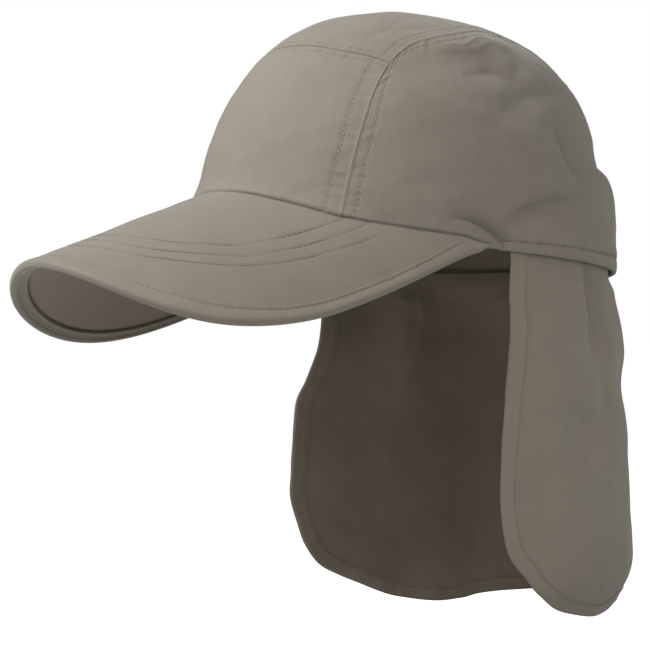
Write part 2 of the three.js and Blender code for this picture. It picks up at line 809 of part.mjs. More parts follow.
// The flap's free edge on the unrolled cloth, from the left top round the bottom to the right.
function flapEdgePoints() {
  const left = FLAP_EDGE.map((row) => new THREE.Vector2(QUARTER - row.left, row.z));
  const right = FLAP_EDGE.map((row) => new THREE.Vector2(row.right - QUARTER, row.z)).reverse();
  return [...left, new THREE.Vector2(0, FLAP_REAR_EDGE), ...right];
}

// Edge curve moved into the cloth by a width.
function insetEdge(points, width) {
  const curve = new THREE.SplineCurve(points);
  const count = points.length - 1;
  return points.map((point, index) => {
    const tangent = curve.getTangent(index / count);
    return new THREE.Vector2(tangent.y, -tangent.x).multiplyScalar(width).add(point);
  });
}

function neckFlap() {
  const points = insetEdge(flapEdgePoints(), FLAP.hemBand + FLAP.hemGap);
  const corner = FLAP_EDGE.findIndex((row) => row.corner);
  const leftEdge = new THREE.SplineCurve(points.slice(0, corner + 1));
  const bottomEdge = new THREE.SplineCurve(points.slice(corner, points.length - corner));
  const rightEdge = new THREE.SplineCurve(points.slice(points.length - corner - 1).reverse());
  const [leftTop, rightTop] = [points[0], points[points.length - 1]];
  const patch = fourEdgePatch({
    bottom: (u) => bottomEdge.getPointAt(u),
    top: (u) => leftTop.clone().lerp(rightTop, u),
    start: (v) => leftEdge.getPointAt(1 - v),
    end: (v) => rightEdge.getPointAt(1 - v),
  });
  const geometry = wallGeometry(
    GRID.flapColumns,
    GRID.flapRows,
    (u, v) => flapPoint(patch(u, v), 0),
    (u, v) => flapPoint(patch(u, v), CLOTH.flap),
  );
  return piece('neck_flap', geometry, FINISH.flap);
}

// Folded hem of the flap: a band along its free edge, a little thicker than the cloth.
function neckFlapHem() {
  const outer = new THREE.SplineCurve(flapEdgePoints());
  const inner = new THREE.SplineCurve(insetEdge(flapEdgePoints(), FLAP.hemBand));
  const face = (depth) => (u, v) => {
    const place = outer.getPoint(u).lerp(inner.getPoint(u), v);
    return flapPoint(place, depth - FLAP.hemStand * hanging(place.y));
  };
  const geometry = wallGeometry(GRID.flapHemColumns, 2, face(0), face(CLOTH.flapHem));
  return piece('neck_flap_hem', geometry, FINISH.band);
}

const cap = new THREE.Group();
const edge = billEdgeCurve();
cap.add(
  frontPanel(),
  topPanel(),
  sidePanel('side_panel_left', 1),
  sidePanel('side_panel_right', -1),
  rearHem(),
  billBoard(edge),
  billBand(edge),
  neckFlap(),
  neckFlapHem(),
);

export default cap;
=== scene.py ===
"""Desert cap: a panelled crown, a rolled bill and a neck flap, dressed as sewn cloth.

Sizes are millimetres up to mesh_piece(), which turns them into Blender's metres. X points to
the wearer's left, Y to the back and Z up, from the middle of the head opening.
"""
import math

import bpy
import numpy as np
from mathutils import Matrix, Vector


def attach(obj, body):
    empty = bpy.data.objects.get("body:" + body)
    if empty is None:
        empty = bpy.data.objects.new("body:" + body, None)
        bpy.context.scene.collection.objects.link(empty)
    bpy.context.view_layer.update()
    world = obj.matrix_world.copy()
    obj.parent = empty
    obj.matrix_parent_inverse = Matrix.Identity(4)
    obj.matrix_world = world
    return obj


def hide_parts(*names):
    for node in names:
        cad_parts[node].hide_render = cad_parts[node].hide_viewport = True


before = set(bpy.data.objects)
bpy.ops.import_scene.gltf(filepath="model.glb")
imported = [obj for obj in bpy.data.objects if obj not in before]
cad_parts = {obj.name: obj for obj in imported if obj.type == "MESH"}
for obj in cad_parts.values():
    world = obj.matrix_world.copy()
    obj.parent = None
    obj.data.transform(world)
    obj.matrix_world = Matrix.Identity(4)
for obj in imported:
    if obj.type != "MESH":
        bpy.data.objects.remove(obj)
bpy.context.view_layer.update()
MM = 0.001


def table(columns, rows):
    """Rows of numbers as one array for each named column."""
    values = np.array(rows, dtype=float)
    return {column: values[:, index] for index, column in enumerate(columns)}


# Crown: from the rim to the top its reach and height follow reach^out + height^up = 1.
CROWN = dict(half_width=85.3, front=95.8, rear=100.3, centre_y=0.4, rim_z=-2.0, height=114.3)
CROWN_OUT = dict(front=2.66, side=2.36, rear=2.0)
CROWN_UP = dict(front=1.97, side=2.24, rear=4.05)
CLOTH = dict(crown=0.9, flap=0.8, bill=3.2)

BILL = dict(
    half_width=113.0, length=169.5, side_exponent=2.13, front_exponent=4.83, roll_radius=95.0,
    pitch=math.radians(23.05), root_y=-26.2, root_z=54.8, edge_band=8.0, edge_share=0.85,
    edge_thickness=4.4, end_turn=88.0, end_thickness=1.0, taper_turn=60.0, root_gap=0.15,
)
CREST = dict(lift=3.0, start=70.0, reach=70.0, rounding=0.7)
FLARE = dict(stand=2.0, height=5.0, fade_from=42.0, fade_to=68.0)

# Rolled hem: it comes out from under the crown cloth at its crease and hangs to its bottom.
HEM = dict(start_turn=88.6, full_turn=93.0, thickness=2.6, stand=0.1, under=1.0, tuck=0.7,
           foot=1.6, sewn_from=4.0, seat=1.5, end_thickness=0.6, end_stand=-0.5, sides=44)
HEM_EDGE = table(("turn", "bottom", "crease"), [
    (88.5, 0.3, 0.9), (91, -1.0, 1.5), (95, -2.0, 1.9), (100, -2.7, 1.5), (105, -3.1, 1.2),
    (120, -4.4, 0.5), (135, -5.6, -0.2), (150, -6.7, -0.7), (180, -7.6, -1.0)])
LIP = dict(foot=-1.2, start=80.0, full=85.0, end=95.0)

# Grid lines beside the bill's root, and the painted shade line where the crown meets the bill's
# top.
ROOT_LINES = dict(count=8, reach=1.5, inside=38)
ROOT_SHADE = dict(levels=(0.3, 0.9), middle=(6, 20), ends=(89, 86), below=0.2, reach=0.8)

# How far the bill's root lies over (or under) the plain rolled sheet, by turn.
ROOT_LIFT = table(("turn", "lift"), [
    (0, 0.0), (45, 0.3), (51, 0.9), (60, 1.5), (68, 1.9), (73, 1.8), (77, 1.0), (80.6, 0.0),
    (83.4, -2.1), (85.2, -3.6), (87.1, -5.6), (88, -6.5)])
ROOT_REACH = 10.0
NEAR_LIFT = dict(lift=1.5, across=(10.0, 65.0), forward=(80.0, 125.0))

# Seams of the crown: turn from the front and tilt from the top, in degrees.
FRONT_SEAM = [(0, 33.4), (11.2, 33.8), (25.0, 35.5), (39.2, 38.8), (51.8, 42.0), (60.1, 45.1)]
SIDE_SEAM = [(50.0, 73.4), (52.9, 62.5), (54.9, 55.6), (60.1, 45.1)]
STRIP_SEAM = [
    (60.1, 45.1), (64.9, 40.5), (70.0, 36.9), (80.7, 33.7), (92.6, 31.1), (101.8, 29.2),
    (111.5, 28.0), (122.2, 28.3), (134.7, 32.2), (145.1, 39.4), (152.2, 48.9), (157.0, 61.7),
]
SIDE_SEAM_FOOT = 47.4
STRIP_SEAM_FOOT = 159.5

# Puffed cloth above the rear hem: the crease over it, and how far it stands out.
PUFF = table(("turn", "crease", "stand"), [
    (80, 2, 0.0), (90, 5, 0.0), (95, 12, 1.4), (102, 19, 2.8), (112, 24, 4.4), (119, 28, 5.2),
    (134, 38, 6.2), (150, 42.5, 6.8), (180, 44, 6.4)])
PUFF_ROUNDING = 6.0
PUFF_DIP = dict(share=0.16, above=5.0, reach=6.0)

# Straight soft folds of the crown's sides, on the side view.
CROWN_FOLDS = table(("side", "y0", "z0", "y1", "z1", "reach", "lift"), [
    (1, -14, 91, 26, 95, 6, 0.6), (1, -16, 84, 14, 87, 7, -0.5), (1, -6, 77, 13, 80, 6, -0.5),
    (1, 13, 80, 25, 75, 6, -0.5), (1, 23, 78, 34, 86, 7, -0.5), (1, 10, 59, 27, 70, 7, -0.7),
    (1, 27, 70, 62, 77, 8, -0.8), (1, -36, 68, 40, 45, 8, 0.8), (1, -34, 59, 46, 26, 8, 0.5),
    (1, 46, 51, 60, 37, 8, -1.6), (1, 2, 8, 46, 25, 7, -0.6), (1, -18, 11, -4, 9, 6, -0.4),
    (1, -4, 9, 2, 3, 6, -0.4), (-1, -12, 90, 28, 95, 7, 1.0), (-1, 8, 62, 44, 76, 8, -1.4),
    (-1, -34, 66, 40, 46, 9, 1.2), (-1, 44, 50, 62, 38, 8, -2.0), (-1, 4, 9, 42, 24, 7, -1.1)])
TOP_FOLDS = table(("x0", "y0", "x1", "y1", "reach", "lift"), [
    (44, -30, 20, -8, 8, 0.3), (28, -34, 6, -26, 7, -0.1), (-44, -26, -18, -10, 8, 0.4),
    (-30, 20, -34, 44, 9, -0.4), (46, -62, 52, -50, 8, -0.5), (-46, -62, -52, -50, 8, -0.5)])
FOLD_FADE = dict(side_from=20, side_to=45, plan_from=45, plan_to=75)

# Sharper folds of the crown's sides: points (y, z) on the side view, the crest's lift, and how
# far its flanks reach above and below; where given, shade is the painted shade along it.
SIDE_CREASES = [
    dict(side=1, lift=0.8, above=1.4, below=1.4,
         points=[(-12, 90), (-4, 91), (3, 91.5), (9, 94), (15, 96.5), (22, 95.5), (30, 95)]),
    dict(side=1, lift=0.9, above=5.0, below=1.6,
         points=[(-14, 88), (-7, 89), (3, 89), (11, 91), (19, 94), (26, 93), (36, 93)]),
    dict(side=1, lift=-1.0, above=1.5, below=4.5,
         points=[(-5, 77), (3, 78), (12, 80.5), (20, 79), (26, 75)]),
    dict(side=1, lift=-0.7, above=2.5, below=2.5, points=[(35, 87), (29, 82), (24, 77)]),
    dict(side=1, lift=-1.1, above=1.6, below=5.5,
         points=[(8, 58), (14, 63), (21, 68), (30, 71), (42, 73.5), (62, 77)]),
    dict(side=1, lift=-1.0, above=3.5, below=2.2, shade=0.3,
         points=[(42, 56), (46, 46), (51, 39), (62, 35)]),
    dict(side=1, lift=0.5, above=3.0, below=4.5, points=[(-36, 68), (-4, 59), (18, 52), (38, 46)]),
    dict(side=1, lift=0.35, above=3.0, below=5.0,
         points=[(-34, 60), (-15, 48), (-4, 41), (23, 31), (48, 25)]),
    dict(side=1, lift=-1.5, above=1.5, below=4.5, shade=0.25,
         points=[(0, 7.5), (8, 12.5), (19, 18.4), (35, 23.1), (47, 25.1), (54, 25.5)]),
    dict(side=1, lift=-2.6, above=3.4, below=1.2, shade=0.5,
         points=[(-22, 11.6), (-14, 11.4), (-7, 9), (0, 5.8), (3.8, 3), (5.8, 0), (6, -4),
                 (5.6, -9)]),
    dict(side=1, lift=0.9, above=1.4, below=3.0,
         points=[(-22, 8.8), (-14, 8.6), (-8, 6.8), (-2, 3.8), (1.4, 0.4), (2.4, -4), (2.4, -8)]),
    dict(side=-1, lift=0.7, above=5.0, below=2.0, points=[(-12, 88), (6, 90), (24, 93), (34, 92)]),
    dict(side=-1, lift=-0.9, above=2.0, below=5.0,
         points=[(6, 60), (18, 67), (32, 72), (52, 76)]),
    dict(side=-1, lift=-0.7, above=2.2, below=3.5, points=[(3, 9), (12, 15), (42, 24)]),
    dict(side=-1, lift=-0.8, above=3.5, below=2.2, points=[(42, 52), (48, 44), (60, 38)]),
]

# The same on the plan view: points (x, y).
PLAN_CREASES = [
    dict(lift=-0.75, above=2.2, below=4.0, points=[(40, -41), (41, -29), (36, -20), (27, -13)]),
    dict(lift=-0.7, above=3.6, below=2.0, points=[(47, -29), (44, -21), (45, -11), (43, 0)]),
    dict(lift=0.5, above=3.0, below=3.0, points=[(34, -36), (31, -27), (22, -21)]),
    dict(lift=-0.5, above=3.0, below=3.0, points=[(48, -60), (45, -66), (38, -70)]),
    dict(lift=0.4, above=3.5, below=3.5, points=[(-40, -36), (-34, -24), (-24, -16)]),
]

# Neck flap: half-width and depth behind the origin of its level sections.
FLAP_SECTIONS = table(("z", "half_width", "rear"), [
    (-7, 84.0, 100.2), (-14.5, 84.0, 100.8), (-26, 84, 105.2), (-39, 84.5, 108.0),
    (-54, 87.5, 108.2), (-68, 90, 108.0), (-84, 90, 108.2), (-110, 90, 109.2),
    (-125, 90, 111), (-137, 89.5, 111.8), (-146, 88.5, 109.6), (-152, 86.5, 107.0),
    (-158, 83, 104.6), (-165, 81, 102.6)])
FLAP = dict(exponent=2.3, start_angle=-0.12, base_half_width=88.0, base_rear=106.0, top=-0.6,
            free=-8.0, loose=-16.0, tuck=0.45, overlap=1.2, middle_reach=20.0)
FLAP_EDGE = table(("z", "left", "right", "corner"), [
    (-0.6, 10.6, 9, 0), (-19, 9.6, 9, 0), (-37, 9.1, 7, 0), (-54, 5.6, 2, 0), (-65, 3.2, -2, 0),
    (-84, 1.2, -4, 0), (-100, 0.4, -5, 0), (-112, 0, -5, 0), (-125, 1.7, -1, 0), (-136, 6, 3, 0),
    (-145, 14.5, 10, 0), (-151.4, 22, 22, 1), (-158.9, 37, 41, 0), (-161.9, 52, 55, 0),
    (-163.3, 69, 70, 0), (-161.9, 83.5, 83, 0), (-158.5, 100, 100, 0)])
FLAP_BAND = table(("z", "width"), [
    (-0.6, 9.8), (-54, 9.2), (-84, 8.4), (-110, 7.9), (-136, 7.6), (-152, 7.0), (-159, 6.5),
    (-163.3, 5.6)])
FLAP_REAR_EDGE = -155.0
FLAP_FOLDS = table(("side", "m0", "z0", "m1", "z1", "reach", "lift"), [
    (1, 54, -6, 50, -46, 8, 1.6), (1, 71, -4, 66, -40, 11, -3.6), (1, 67, -2, 67, -24, 7, -1.4),
    (1, 98, -58, 74, -66, 11, -2.6), (1, 74, -66, 50, -80, 11, -2.2),
    (1, 50, -80, 20, -104, 12, -1.6), (1, 30, -56, 34, -120, 14, 1.4),
    (1, 104, -8, 116, -40, 12, 2.0),
    (1, 112, -86, 118, -140, 16, 1.8), (1, 136, -8, 134, -120, 13, -2.4),
    (-1, 60, -6, 54, -60, 11, -2.6), (-1, 36, -20, 34, -120, 14, 1.4),
    (-1, 90, -8, 84, -120, 14, 2.0), (-1, 120, -6, 124, -100, 13, -2.4),
    (1, 152, -12, 156, -130, 12, 1.6)])
# Sharper folds of the flap; where given, shade is the painted shade beside the crease.
FLAP_CREASES = [
    dict(side=1, lift=-0.5, above=9.0, below=0.8, shade=0.5,
         points=[(58.8, 12), (59.0, 0), (59.6, -10), (60.6, -20), (61, -30), (60, -42)]),
    dict(side=1, lift=0.9, above=1.8, below=7.0,
         points=[(57.6, 4), (58.2, -4), (59.2, -14), (59.6, -24), (57.5, -38)]),
    dict(side=1, lift=-0.8, above=3.0, below=4.5,
         points=[(72, -65), (60, -71), (53, -77), (43, -86), (33, -94), (23, -101), (12, -108)]),
    dict(side=1, lift=0.6, above=4.0, below=4.0,
         points=[(70, -70), (62, -76), (51, -95), (36, -114)]),
    dict(side=1, lift=-0.6, above=3.0, below=3.0, points=[(9, -72), (20, -76), (32, -82)]),
    dict(side=1, lift=-0.5, above=3.0, below=3.0, points=[(8, -105), (18, -104), (28, -108)]),
    dict(side=1, lift=0.4, above=5.0, below=3.5,
         points=[(24, -30), (30, -60), (40, -92), (44, -130)]),
    dict(side=-1, lift=0.9, above=1.8, below=7.0, points=[(62, -3), (61, -20), (54, -44)]),
    dict(side=-1, lift=-0.6, above=3.5, below=4.5, points=[(78, -64), (60, -74), (40, -92)]),
]

# Grid lines of the pieces.
GRID = dict(front=130, rows=110, side=170, bill=340, bill_lines=130, under_lines=58, hem=460,
            flap=258, flap_rows=180, flap_hem=800)

# Stitches in mm, and the radius of each piece's threads.
STITCH = dict(pitch=2.6, length=1.9, arch=0.22, sink=0.45, ring=6, sway=0.05)
THREAD_RADIUS = dict(crown=0.17, hem=0.18, bill_edge=0.19, bill=0.14, flap=0.15)
SIDE_STITCHES = (7.0, 8.2)
SIDE_STITCHES_REAR = (5.2, 6.2)

# Decorative rows of the bill on its flat sheet, from the middle to one side.
BILL_ROWS = [
    [(0, 135), (18, 133.5), (34, 128), (47, 120.3), (57, 109.5), (64, 98), (67.5, 82), (71, 62),
     (73, 42)],
    [(0, 141.5), (20, 139.5), (40, 134), (55, 122.5), (65, 110.5), (72, 98), (76.5, 77), (79, 61),
     (80.5, 42)],
    [(0, 148.5), (24, 146), (43, 139.5), (54, 131.5), (65, 121), (74, 108), (80.5, 90), (85.5, 66),
     (87.5, 46)],
]

# Turned band under the bill's edge: share of its width, and height below the bill's face.
BILL_FOLD = [
    (0.36, -0.06), (0.4, -0.2), (0.45, -0.28), (0.5, -0.24), (0.57, -0.12), (0.64, -0.08),
    (0.71, -0.02), (0.77, 0.16), (0.82, 0.3), (0.87, 0.34), (0.92, 0.22), (0.96, -0.02),
    (0.99, -0.5), (1.0, -1.2)]

# Front half of the flap hem's section: share of its width, and height over the cloth's face.
FLAP_HEM_FACE = [
    (0.0, -0.75), (0.02, -0.3), (0.06, 0.02), (0.14, 0.2), (0.28, 0.26), (0.45, 0.24), (0.62, 0.24),
    (0.74, 0.3), (0.82, 0.34), (0.875, 0.16), (0.905, 0.14), (0.94, 0.4), (0.975, 0.42), (1.0, 0.2),
    (1.01, -0.2)]


def value_at(rows, key, column, x):
    """Value of a column at a key, on a smooth curve through the table's rows."""
    keys, values = rows[key], rows[column]
    if keys[0] > keys[-1]:
        keys, values = keys[::-1], values[::-1]
    slope = np.zeros(len(keys))
    slope[1:-1] = (values[2:] - values[:-2]) / (keys[2:] - keys[:-2])
    x = np.clip(x, keys[0], keys[-1])
    i = np.clip(np.searchsorted(keys, x) - 1, 0, len(keys) - 2)
    span = keys[i + 1] - keys[i]
    s = (x - keys[i]) / span
    return ((2 * s**3 - 3 * s**2 + 1) * values[i] + (s**3 - 2 * s**2 + s) * span * slope[i]
            + (3 * s**2 - 2 * s**3) * values[i + 1] + (s**3 - s**2) * span * slope[i + 1])


def smoothstep(x, low, high):
    s = np.clip((x - low) / (high - low), 0, 1)
    return s * s * (3 - 2 * s)


def lerp(a, b, share):
    return a + (b - a) * share


def power(value, exponent):
    return np.sign(value) * np.abs(value) ** exponent


def length_of(vectors):
    return np.linalg.norm(vectors, axis=-1, keepdims=True)


def unit(vectors):
    return vectors / np.maximum(length_of(vectors), 1e-9)


def ripple(points, size, seed, waves=14):
    """Smooth noise of about -1 to 1: a sum of sine waves in random directions."""
    rng = np.random.default_rng(seed)
    directions = rng.normal(size=(waves, points.shape[-1]))
    directions /= np.linalg.norm(directions, axis=1, keepdims=True)
    scales = 2 * math.pi / (size * rng.uniform(0.7, 1.6, waves))
    phases = rng.uniform(0, 2 * math.pi, waves)
    total = sum(np.sin(points @ d * k + f) for d, k, f in zip(directions, scales, phases))
    return total / math.sqrt(waves)


def bell(distance, centre, reach):
    return np.exp(-(((distance - centre) / reach) ** 2))


def lengths_along(path):
    """Length of a path from its first point to each of its points."""
    return np.concatenate([[0], np.cumsum(np.linalg.norm(np.diff(path, axis=0), axis=1))])


def read_columns(x, keys, values):
    return np.stack([np.interp(x, keys, values[:, k]) for k in range(values.shape[1])], -1)


# ---------------------------------------------------------------- crown surface


def crown_exponent(values, turn_cos):
    end = np.where(turn_cos > 0, values["front"], values["rear"])
    return values["side"] + (end - values["side"]) * turn_cos**2


def dome_point(turn, tilt):
    """Bare dome: reach sin(tilt)^(2/out) and height cos(tilt)^(2/up) over an oval."""
    sin, cos = np.sin(turn), np.cos(turn)
    reach = np.sin(tilt) ** (2 / crown_exponent(CROWN_OUT, cos))
    lift = np.maximum(np.cos(tilt), 0) ** (2 / crown_exponent(CROWN_UP, cos))
    depth = np.where(cos > 0, CROWN["front"], CROWN["rear"])
    return np.stack([CROWN["half_width"] * sin * reach, CROWN["centre_y"] - depth * cos * reach,
                     CROWN["rim_z"] + CROWN["height"] * lift], axis=-1)


def dome_tilt(turn, z):
    share = np.clip((z - CROWN["rim_z"]) / CROWN["height"], 0, 1)
    return np.arccos(share ** (crown_exponent(CROWN_UP, np.cos(turn)) / 2))


def chart_point(turn, tilt):
    """The crown's chart: the dome seen from the top, with the tilt as distance."""
    radius = tilt / (math.pi / 2)
    return np.stack([np.sin(turn) * radius, -np.cos(turn) * radius], axis=-1)


def chart_turn(chart):
    return np.arctan2(chart[..., 0], -chart[..., 1])


def chart_dome(chart):
    tilt = np.minimum(np.linalg.norm(chart, axis=-1), 1) * (math.pi / 2)
    return dome_point(chart_turn(chart), tilt)


def dome_normal(chart, step=0.004, limit=0.985):
    """Outward direction of the dome, from small steps on the chart."""
    radius = length_of(chart)
    middle = chart * np.minimum(1, limit / np.maximum(radius, 1e-9))
    dx, dy = np.array([step, 0]), np.array([0, step])
    across = chart_dome(middle + dx) - chart_dome(middle - dx)
    back = chart_dome(middle + dy) - chart_dome(middle - dy)
    return unit(np.cross(across, back))


def fold_lift(points, folds, names, chosen):
    """Sum of straight ridges with bell-shaped flanks."""
    total = np.zeros(points.shape[:-1])
    for k in np.flatnonzero(chosen):
        a = np.array([folds[names[0]][k], folds[names[1]][k]])
        b = np.array([folds[names[2]][k], folds[names[3]][k]])
        along = np.clip((points - a) @ (b - a) / ((b - a) @ (b - a)), 0, 1)
        near = a + along[..., None] * (b - a)
        apart = length_of(points - near)[..., 0]
        total += folds["lift"][k] * bell(apart, 0, folds["reach"][k])
    return total


def crease_lift(points, crease):
    return crease["lift"] * crease_profile(points, crease)


def crease_profile(points, crease):
    """A curved crest that fades to its ends, with its own reach on either flank."""
    path = catmull_rom(np.array(crease["points"], float), 10)
    seg, runs = path[1:] - path[:-1], lengths_along(path)
    best = np.full(points.shape[:-1], 1e9)
    signed = np.zeros(points.shape[:-1])
    place = np.zeros(points.shape[:-1])
    for k in range(len(seg)):
        size = seg[k] @ seg[k]
        t = np.clip((points - path[k]) @ seg[k] / size, 0, 1)
        gap = points - (path[k] + t[..., None] * seg[k])
        dist = np.linalg.norm(gap, axis=-1)
        near = dist < best
        cross = seg[k][0] * gap[..., 1] - seg[k][1] * gap[..., 0]
        best = np.where(near, dist, best)
        signed = np.where(near, np.sign(cross), signed)
        place = np.where(near, runs[k] + t * (runs[k + 1] - runs[k]), place)
    reach = np.where(signed > 0, crease["above"], crease["below"])
    ends = np.clip(np.sin(np.clip(place / runs[-1], 0, 1) * math.pi), 0, 1) ** 0.6
    return ends * np.exp(-((best / reach) ** 1.1))


def with_creases(total, points, left, creases):
    """A relief with the creases added that lie on the same side of the cap."""
    for crease in creases:
        total = total + np.where(left == (crease["side"] > 0), crease_lift(points, crease), 0)
    return total


def crease_shade(shade, points, left, creases):
    """Painted shade, added along the creases that carry a shade value."""
    for crease in creases:
        if "shade" in crease:
            painted_shade = crease["shade"] * crease_profile(points, crease)
            shade = np.maximum(shade, np.where(left == (crease["side"] > 0), painted_shade, 0))
    return shade


def catmull_rom(points, per_span):
    """Points of a Catmull-Rom curve, evenly spaced in its parameter."""
    t = np.linspace(0, len(points) - 1, (len(points) - 1) * per_span + 1)
    return catmull_at(points, t / (len(points) - 1))


def catmull_at(points, share):
    """Catmull-Rom curve through points, at shares of its parameter from 0 to 1."""
    n = len(points)
    t = np.clip(share, 0, 1) * (n - 1)
    i = np.minimum(np.floor(t).astype(int), n - 2)
    w = (t - i)[..., None]
    p0 = points[np.maximum(i - 1, 0)]
    p1, p2 = points[i], points[i + 1]
    p3 = points[np.minimum(i + 2, n - 1)]
    v0, v1 = (p2 - p0) / 2, (p3 - p1) / 2
    cubic, square = 2 * p1 - 2 * p2 + v0 + v1, -3 * p1 + 3 * p2 - 2 * v0 - v1
    return cubic * w**3 + square * w**2 + v0 * w + p1


def even_curve(points, samples=2400):
    """The same curve, as a function of the share of its length."""
    path = catmull_at(points, np.linspace(0, 1, samples))
    runs = lengths_along(path)
    runs /= runs[-1]
    return lambda s: read_columns(s, runs, path)


def flare(turn, z):
    """How far the front panel's foot spreads where it meets the bill."""
    degrees = np.abs(np.degrees(turn))
    share = 1 - smoothstep(degrees, FLARE["fade_from"], FLARE["fade_to"])
    above = np.maximum(z - seam_height(turn), 0)
    return share * FLARE["stand"] * np.exp(-above / FLARE["height"])


def crown_relief(turn, base):
    degrees = np.abs(np.degrees(turn))
    below = value_at(PUFF, "turn", "crease", degrees) - base[..., 2]
    stand = value_at(PUFF, "turn", "stand", degrees)
    puff = np.where(below > 0, stand * (1 - np.exp(-np.maximum(below, 0) / PUFF_ROUNDING)), 0)
    dip = stand * PUFF_DIP["share"] * bell(below, -PUFF_DIP["above"], PUFF_DIP["reach"])
    side_view = base[..., 1:3]
    names = ("y0", "z0", "y1", "z1")
    left = base[..., 0] > 0
    folds_left = fold_lift(side_view, CROWN_FOLDS, names, CROWN_FOLDS["side"] > 0)
    folds_right = fold_lift(side_view, CROWN_FOLDS, names, CROWN_FOLDS["side"] < 0)
    sides = with_creases(np.where(left, folds_left, folds_right), side_view, left, SIDE_CREASES)
    plan = fold_lift(base[..., :2], TOP_FOLDS, ("x0", "y0", "x1", "y1"), TOP_FOLDS["lift"] != 0)
    side_share = smoothstep(np.abs(base[..., 0]), FOLD_FADE["side_from"], FOLD_FADE["side_to"])
    plan_share = smoothstep(base[..., 2], FOLD_FADE["plan_from"], FOLD_FADE["plan_to"])
    for crease in PLAN_CREASES:
        plan = plan + crease_lift(base[..., :2], crease)
    soft = 0.2 * ripple(base, 26, 3) + 0.1 * ripple(base, 11, 4) + 0.03 * ripple(base, 5, 5)
    return puff - dip + flare(turn, base[..., 2]) + sides * side_share + plan * plan_share + soft


def crown_shade(turn, base):
    """Painted shade in the sides' deep creases and along the line where the bill's top meets them.
    """
    none = np.zeros(base.shape[:-1])
    shade = crease_shade(none, base[..., 1:3], base[..., 0] > 0, SIDE_CREASES)
    degrees, root = np.abs(np.degrees(turn)), ROOT_SHADE
    above = base[..., 2] - np.interp(turn, ROOT_TURNS, ROOT_HEIGHTS)
    line = lerp(*root["levels"], smoothstep(degrees, *root["middle"]))
    line = line * smoothstep(degrees, *root["ends"])
    return np.maximum(shade, line * bell(above, -root["below"], root["reach"]))


def crown_point(chart):
    """Crown cloth over a chart position: the dome, moved out by its relief."""
    base = chart_dome(chart)
    return base + dome_normal(chart) * crown_relief(chart_turn(chart), base)[..., None]


# ---------------------------------------------------------------- bill surface


def bill_point(place, depth=0.0):
    """Sheet rolled round a sloping axis; place holds the distances across and forward."""
    across, forward = place[..., 0], place[..., 1]
    angle = across / BILL["roll_radius"]
    radius = BILL["roll_radius"] - depth
    drop = BILL["roll_radius"] - radius * np.cos(angle)
    sin, cos = math.sin(BILL["pitch"]), math.cos(BILL["pitch"])
    share = np.clip((forward - CREST["start"]) / (BILL["length"] - CREST["start"]), 0, 1)
    fade = np.cos(math.pi / 2 * np.clip(across / CREST["reach"], -1, 1)) ** 2
    crest = CREST["lift"] * share ** CREST["rounding"] * fade
    return np.stack([radius * np.sin(angle), BILL["root_y"] - forward * cos + drop * sin,
                     BILL["root_z"] - forward * sin - drop * cos + crest], axis=-1)


def bill_place(x, y, depth=0.0):
    radius = BILL["roll_radius"] - depth
    angle = np.arcsin(np.clip(x / radius, -1, 1))
    drop = BILL["roll_radius"] - radius * np.cos(angle)
    forward = (BILL["root_y"] + drop * math.sin(BILL["pitch"]) - y) / math.cos(BILL["pitch"])
    return np.stack([angle * BILL["roll_radius"], forward], axis=-1)


def bill_seam_z(turn, depth=0.0):
    """Height where a face of the bill meets the crown, by halving an interval."""
    low = np.full(np.shape(turn), CROWN["rim_z"] - 20.0)
    high = np.full(np.shape(turn), CROWN["height"] / 2)

    def above(z):
        on_crown = dome_point(turn, dome_tilt(turn, z))
        place = bill_place(on_crown[..., 0], on_crown[..., 1], depth)
        return z - bill_point(place, depth)[..., 2]

    low_sign = np.sign(above(low))
    for _ in range(36):
        middle = (low + high) / 2
        same = np.sign(above(middle)) == low_sign
        low, high = np.where(same, middle, low), np.where(same, high, middle)
    return (low + high) / 2


SEAM_TURNS = np.radians(np.linspace(-90, 90, 361))
SEAM_HEIGHTS = bill_seam_z(SEAM_TURNS)


def seam_height(turn):
    return np.interp(turn, SEAM_TURNS, SEAM_HEIGHTS)


def bill_thickness(turn):
    share = smoothstep(np.abs(np.degrees(turn)), BILL["taper_turn"], BILL["end_turn"])
    return lerp(CLOTH["bill"], BILL["end_thickness"], share)


def crown_foot_z(turn):
    degrees = np.abs(np.degrees(turn))
    lowest = CROWN["rim_z"] + 0.2
    behind = np.maximum(bill_seam_z(turn, bill_thickness(turn)), lowest)
    lip = lerp(behind, LIP["foot"], smoothstep(degrees, LIP["start"], LIP["full"]))
    covered = np.maximum(value_at(HEM_EDGE, "turn", "crease", degrees) - HEM["foot"], lowest)
    return lerp(lip, covered, smoothstep(degrees, LIP["full"] + 5, LIP["end"]))


def crown_foot(turn):
    return chart_point(turn, dome_tilt(turn, crown_foot_z(turn)))


def bill_root(turn, depth):
    z = bill_seam_z(turn, depth)
    chart = chart_point(turn, dome_tilt(turn, z))
    level = dome_normal(chart) * np.array([1, 1, 0])
    clear = chart_dome(chart) + unit(level) * (BILL["root_gap"] + flare(turn, z))[..., None]
    return bill_place(clear[..., 0], clear[..., 1], depth)


def root_seat():
    """Where the root lies on the flat sheet, with its lift, from the end to the middle."""
    turn = np.radians(np.linspace(BILL["end_turn"], 0, 89))
    place = bill_root(turn, np.zeros_like(turn))
    lift = value_at(ROOT_LIFT, "turn", "lift", np.degrees(turn))
    return place[:, 1], place[:, 0], lift


ROOT_FORWARD, ROOT_ACROSS, ROOT_SHIFT = root_seat()


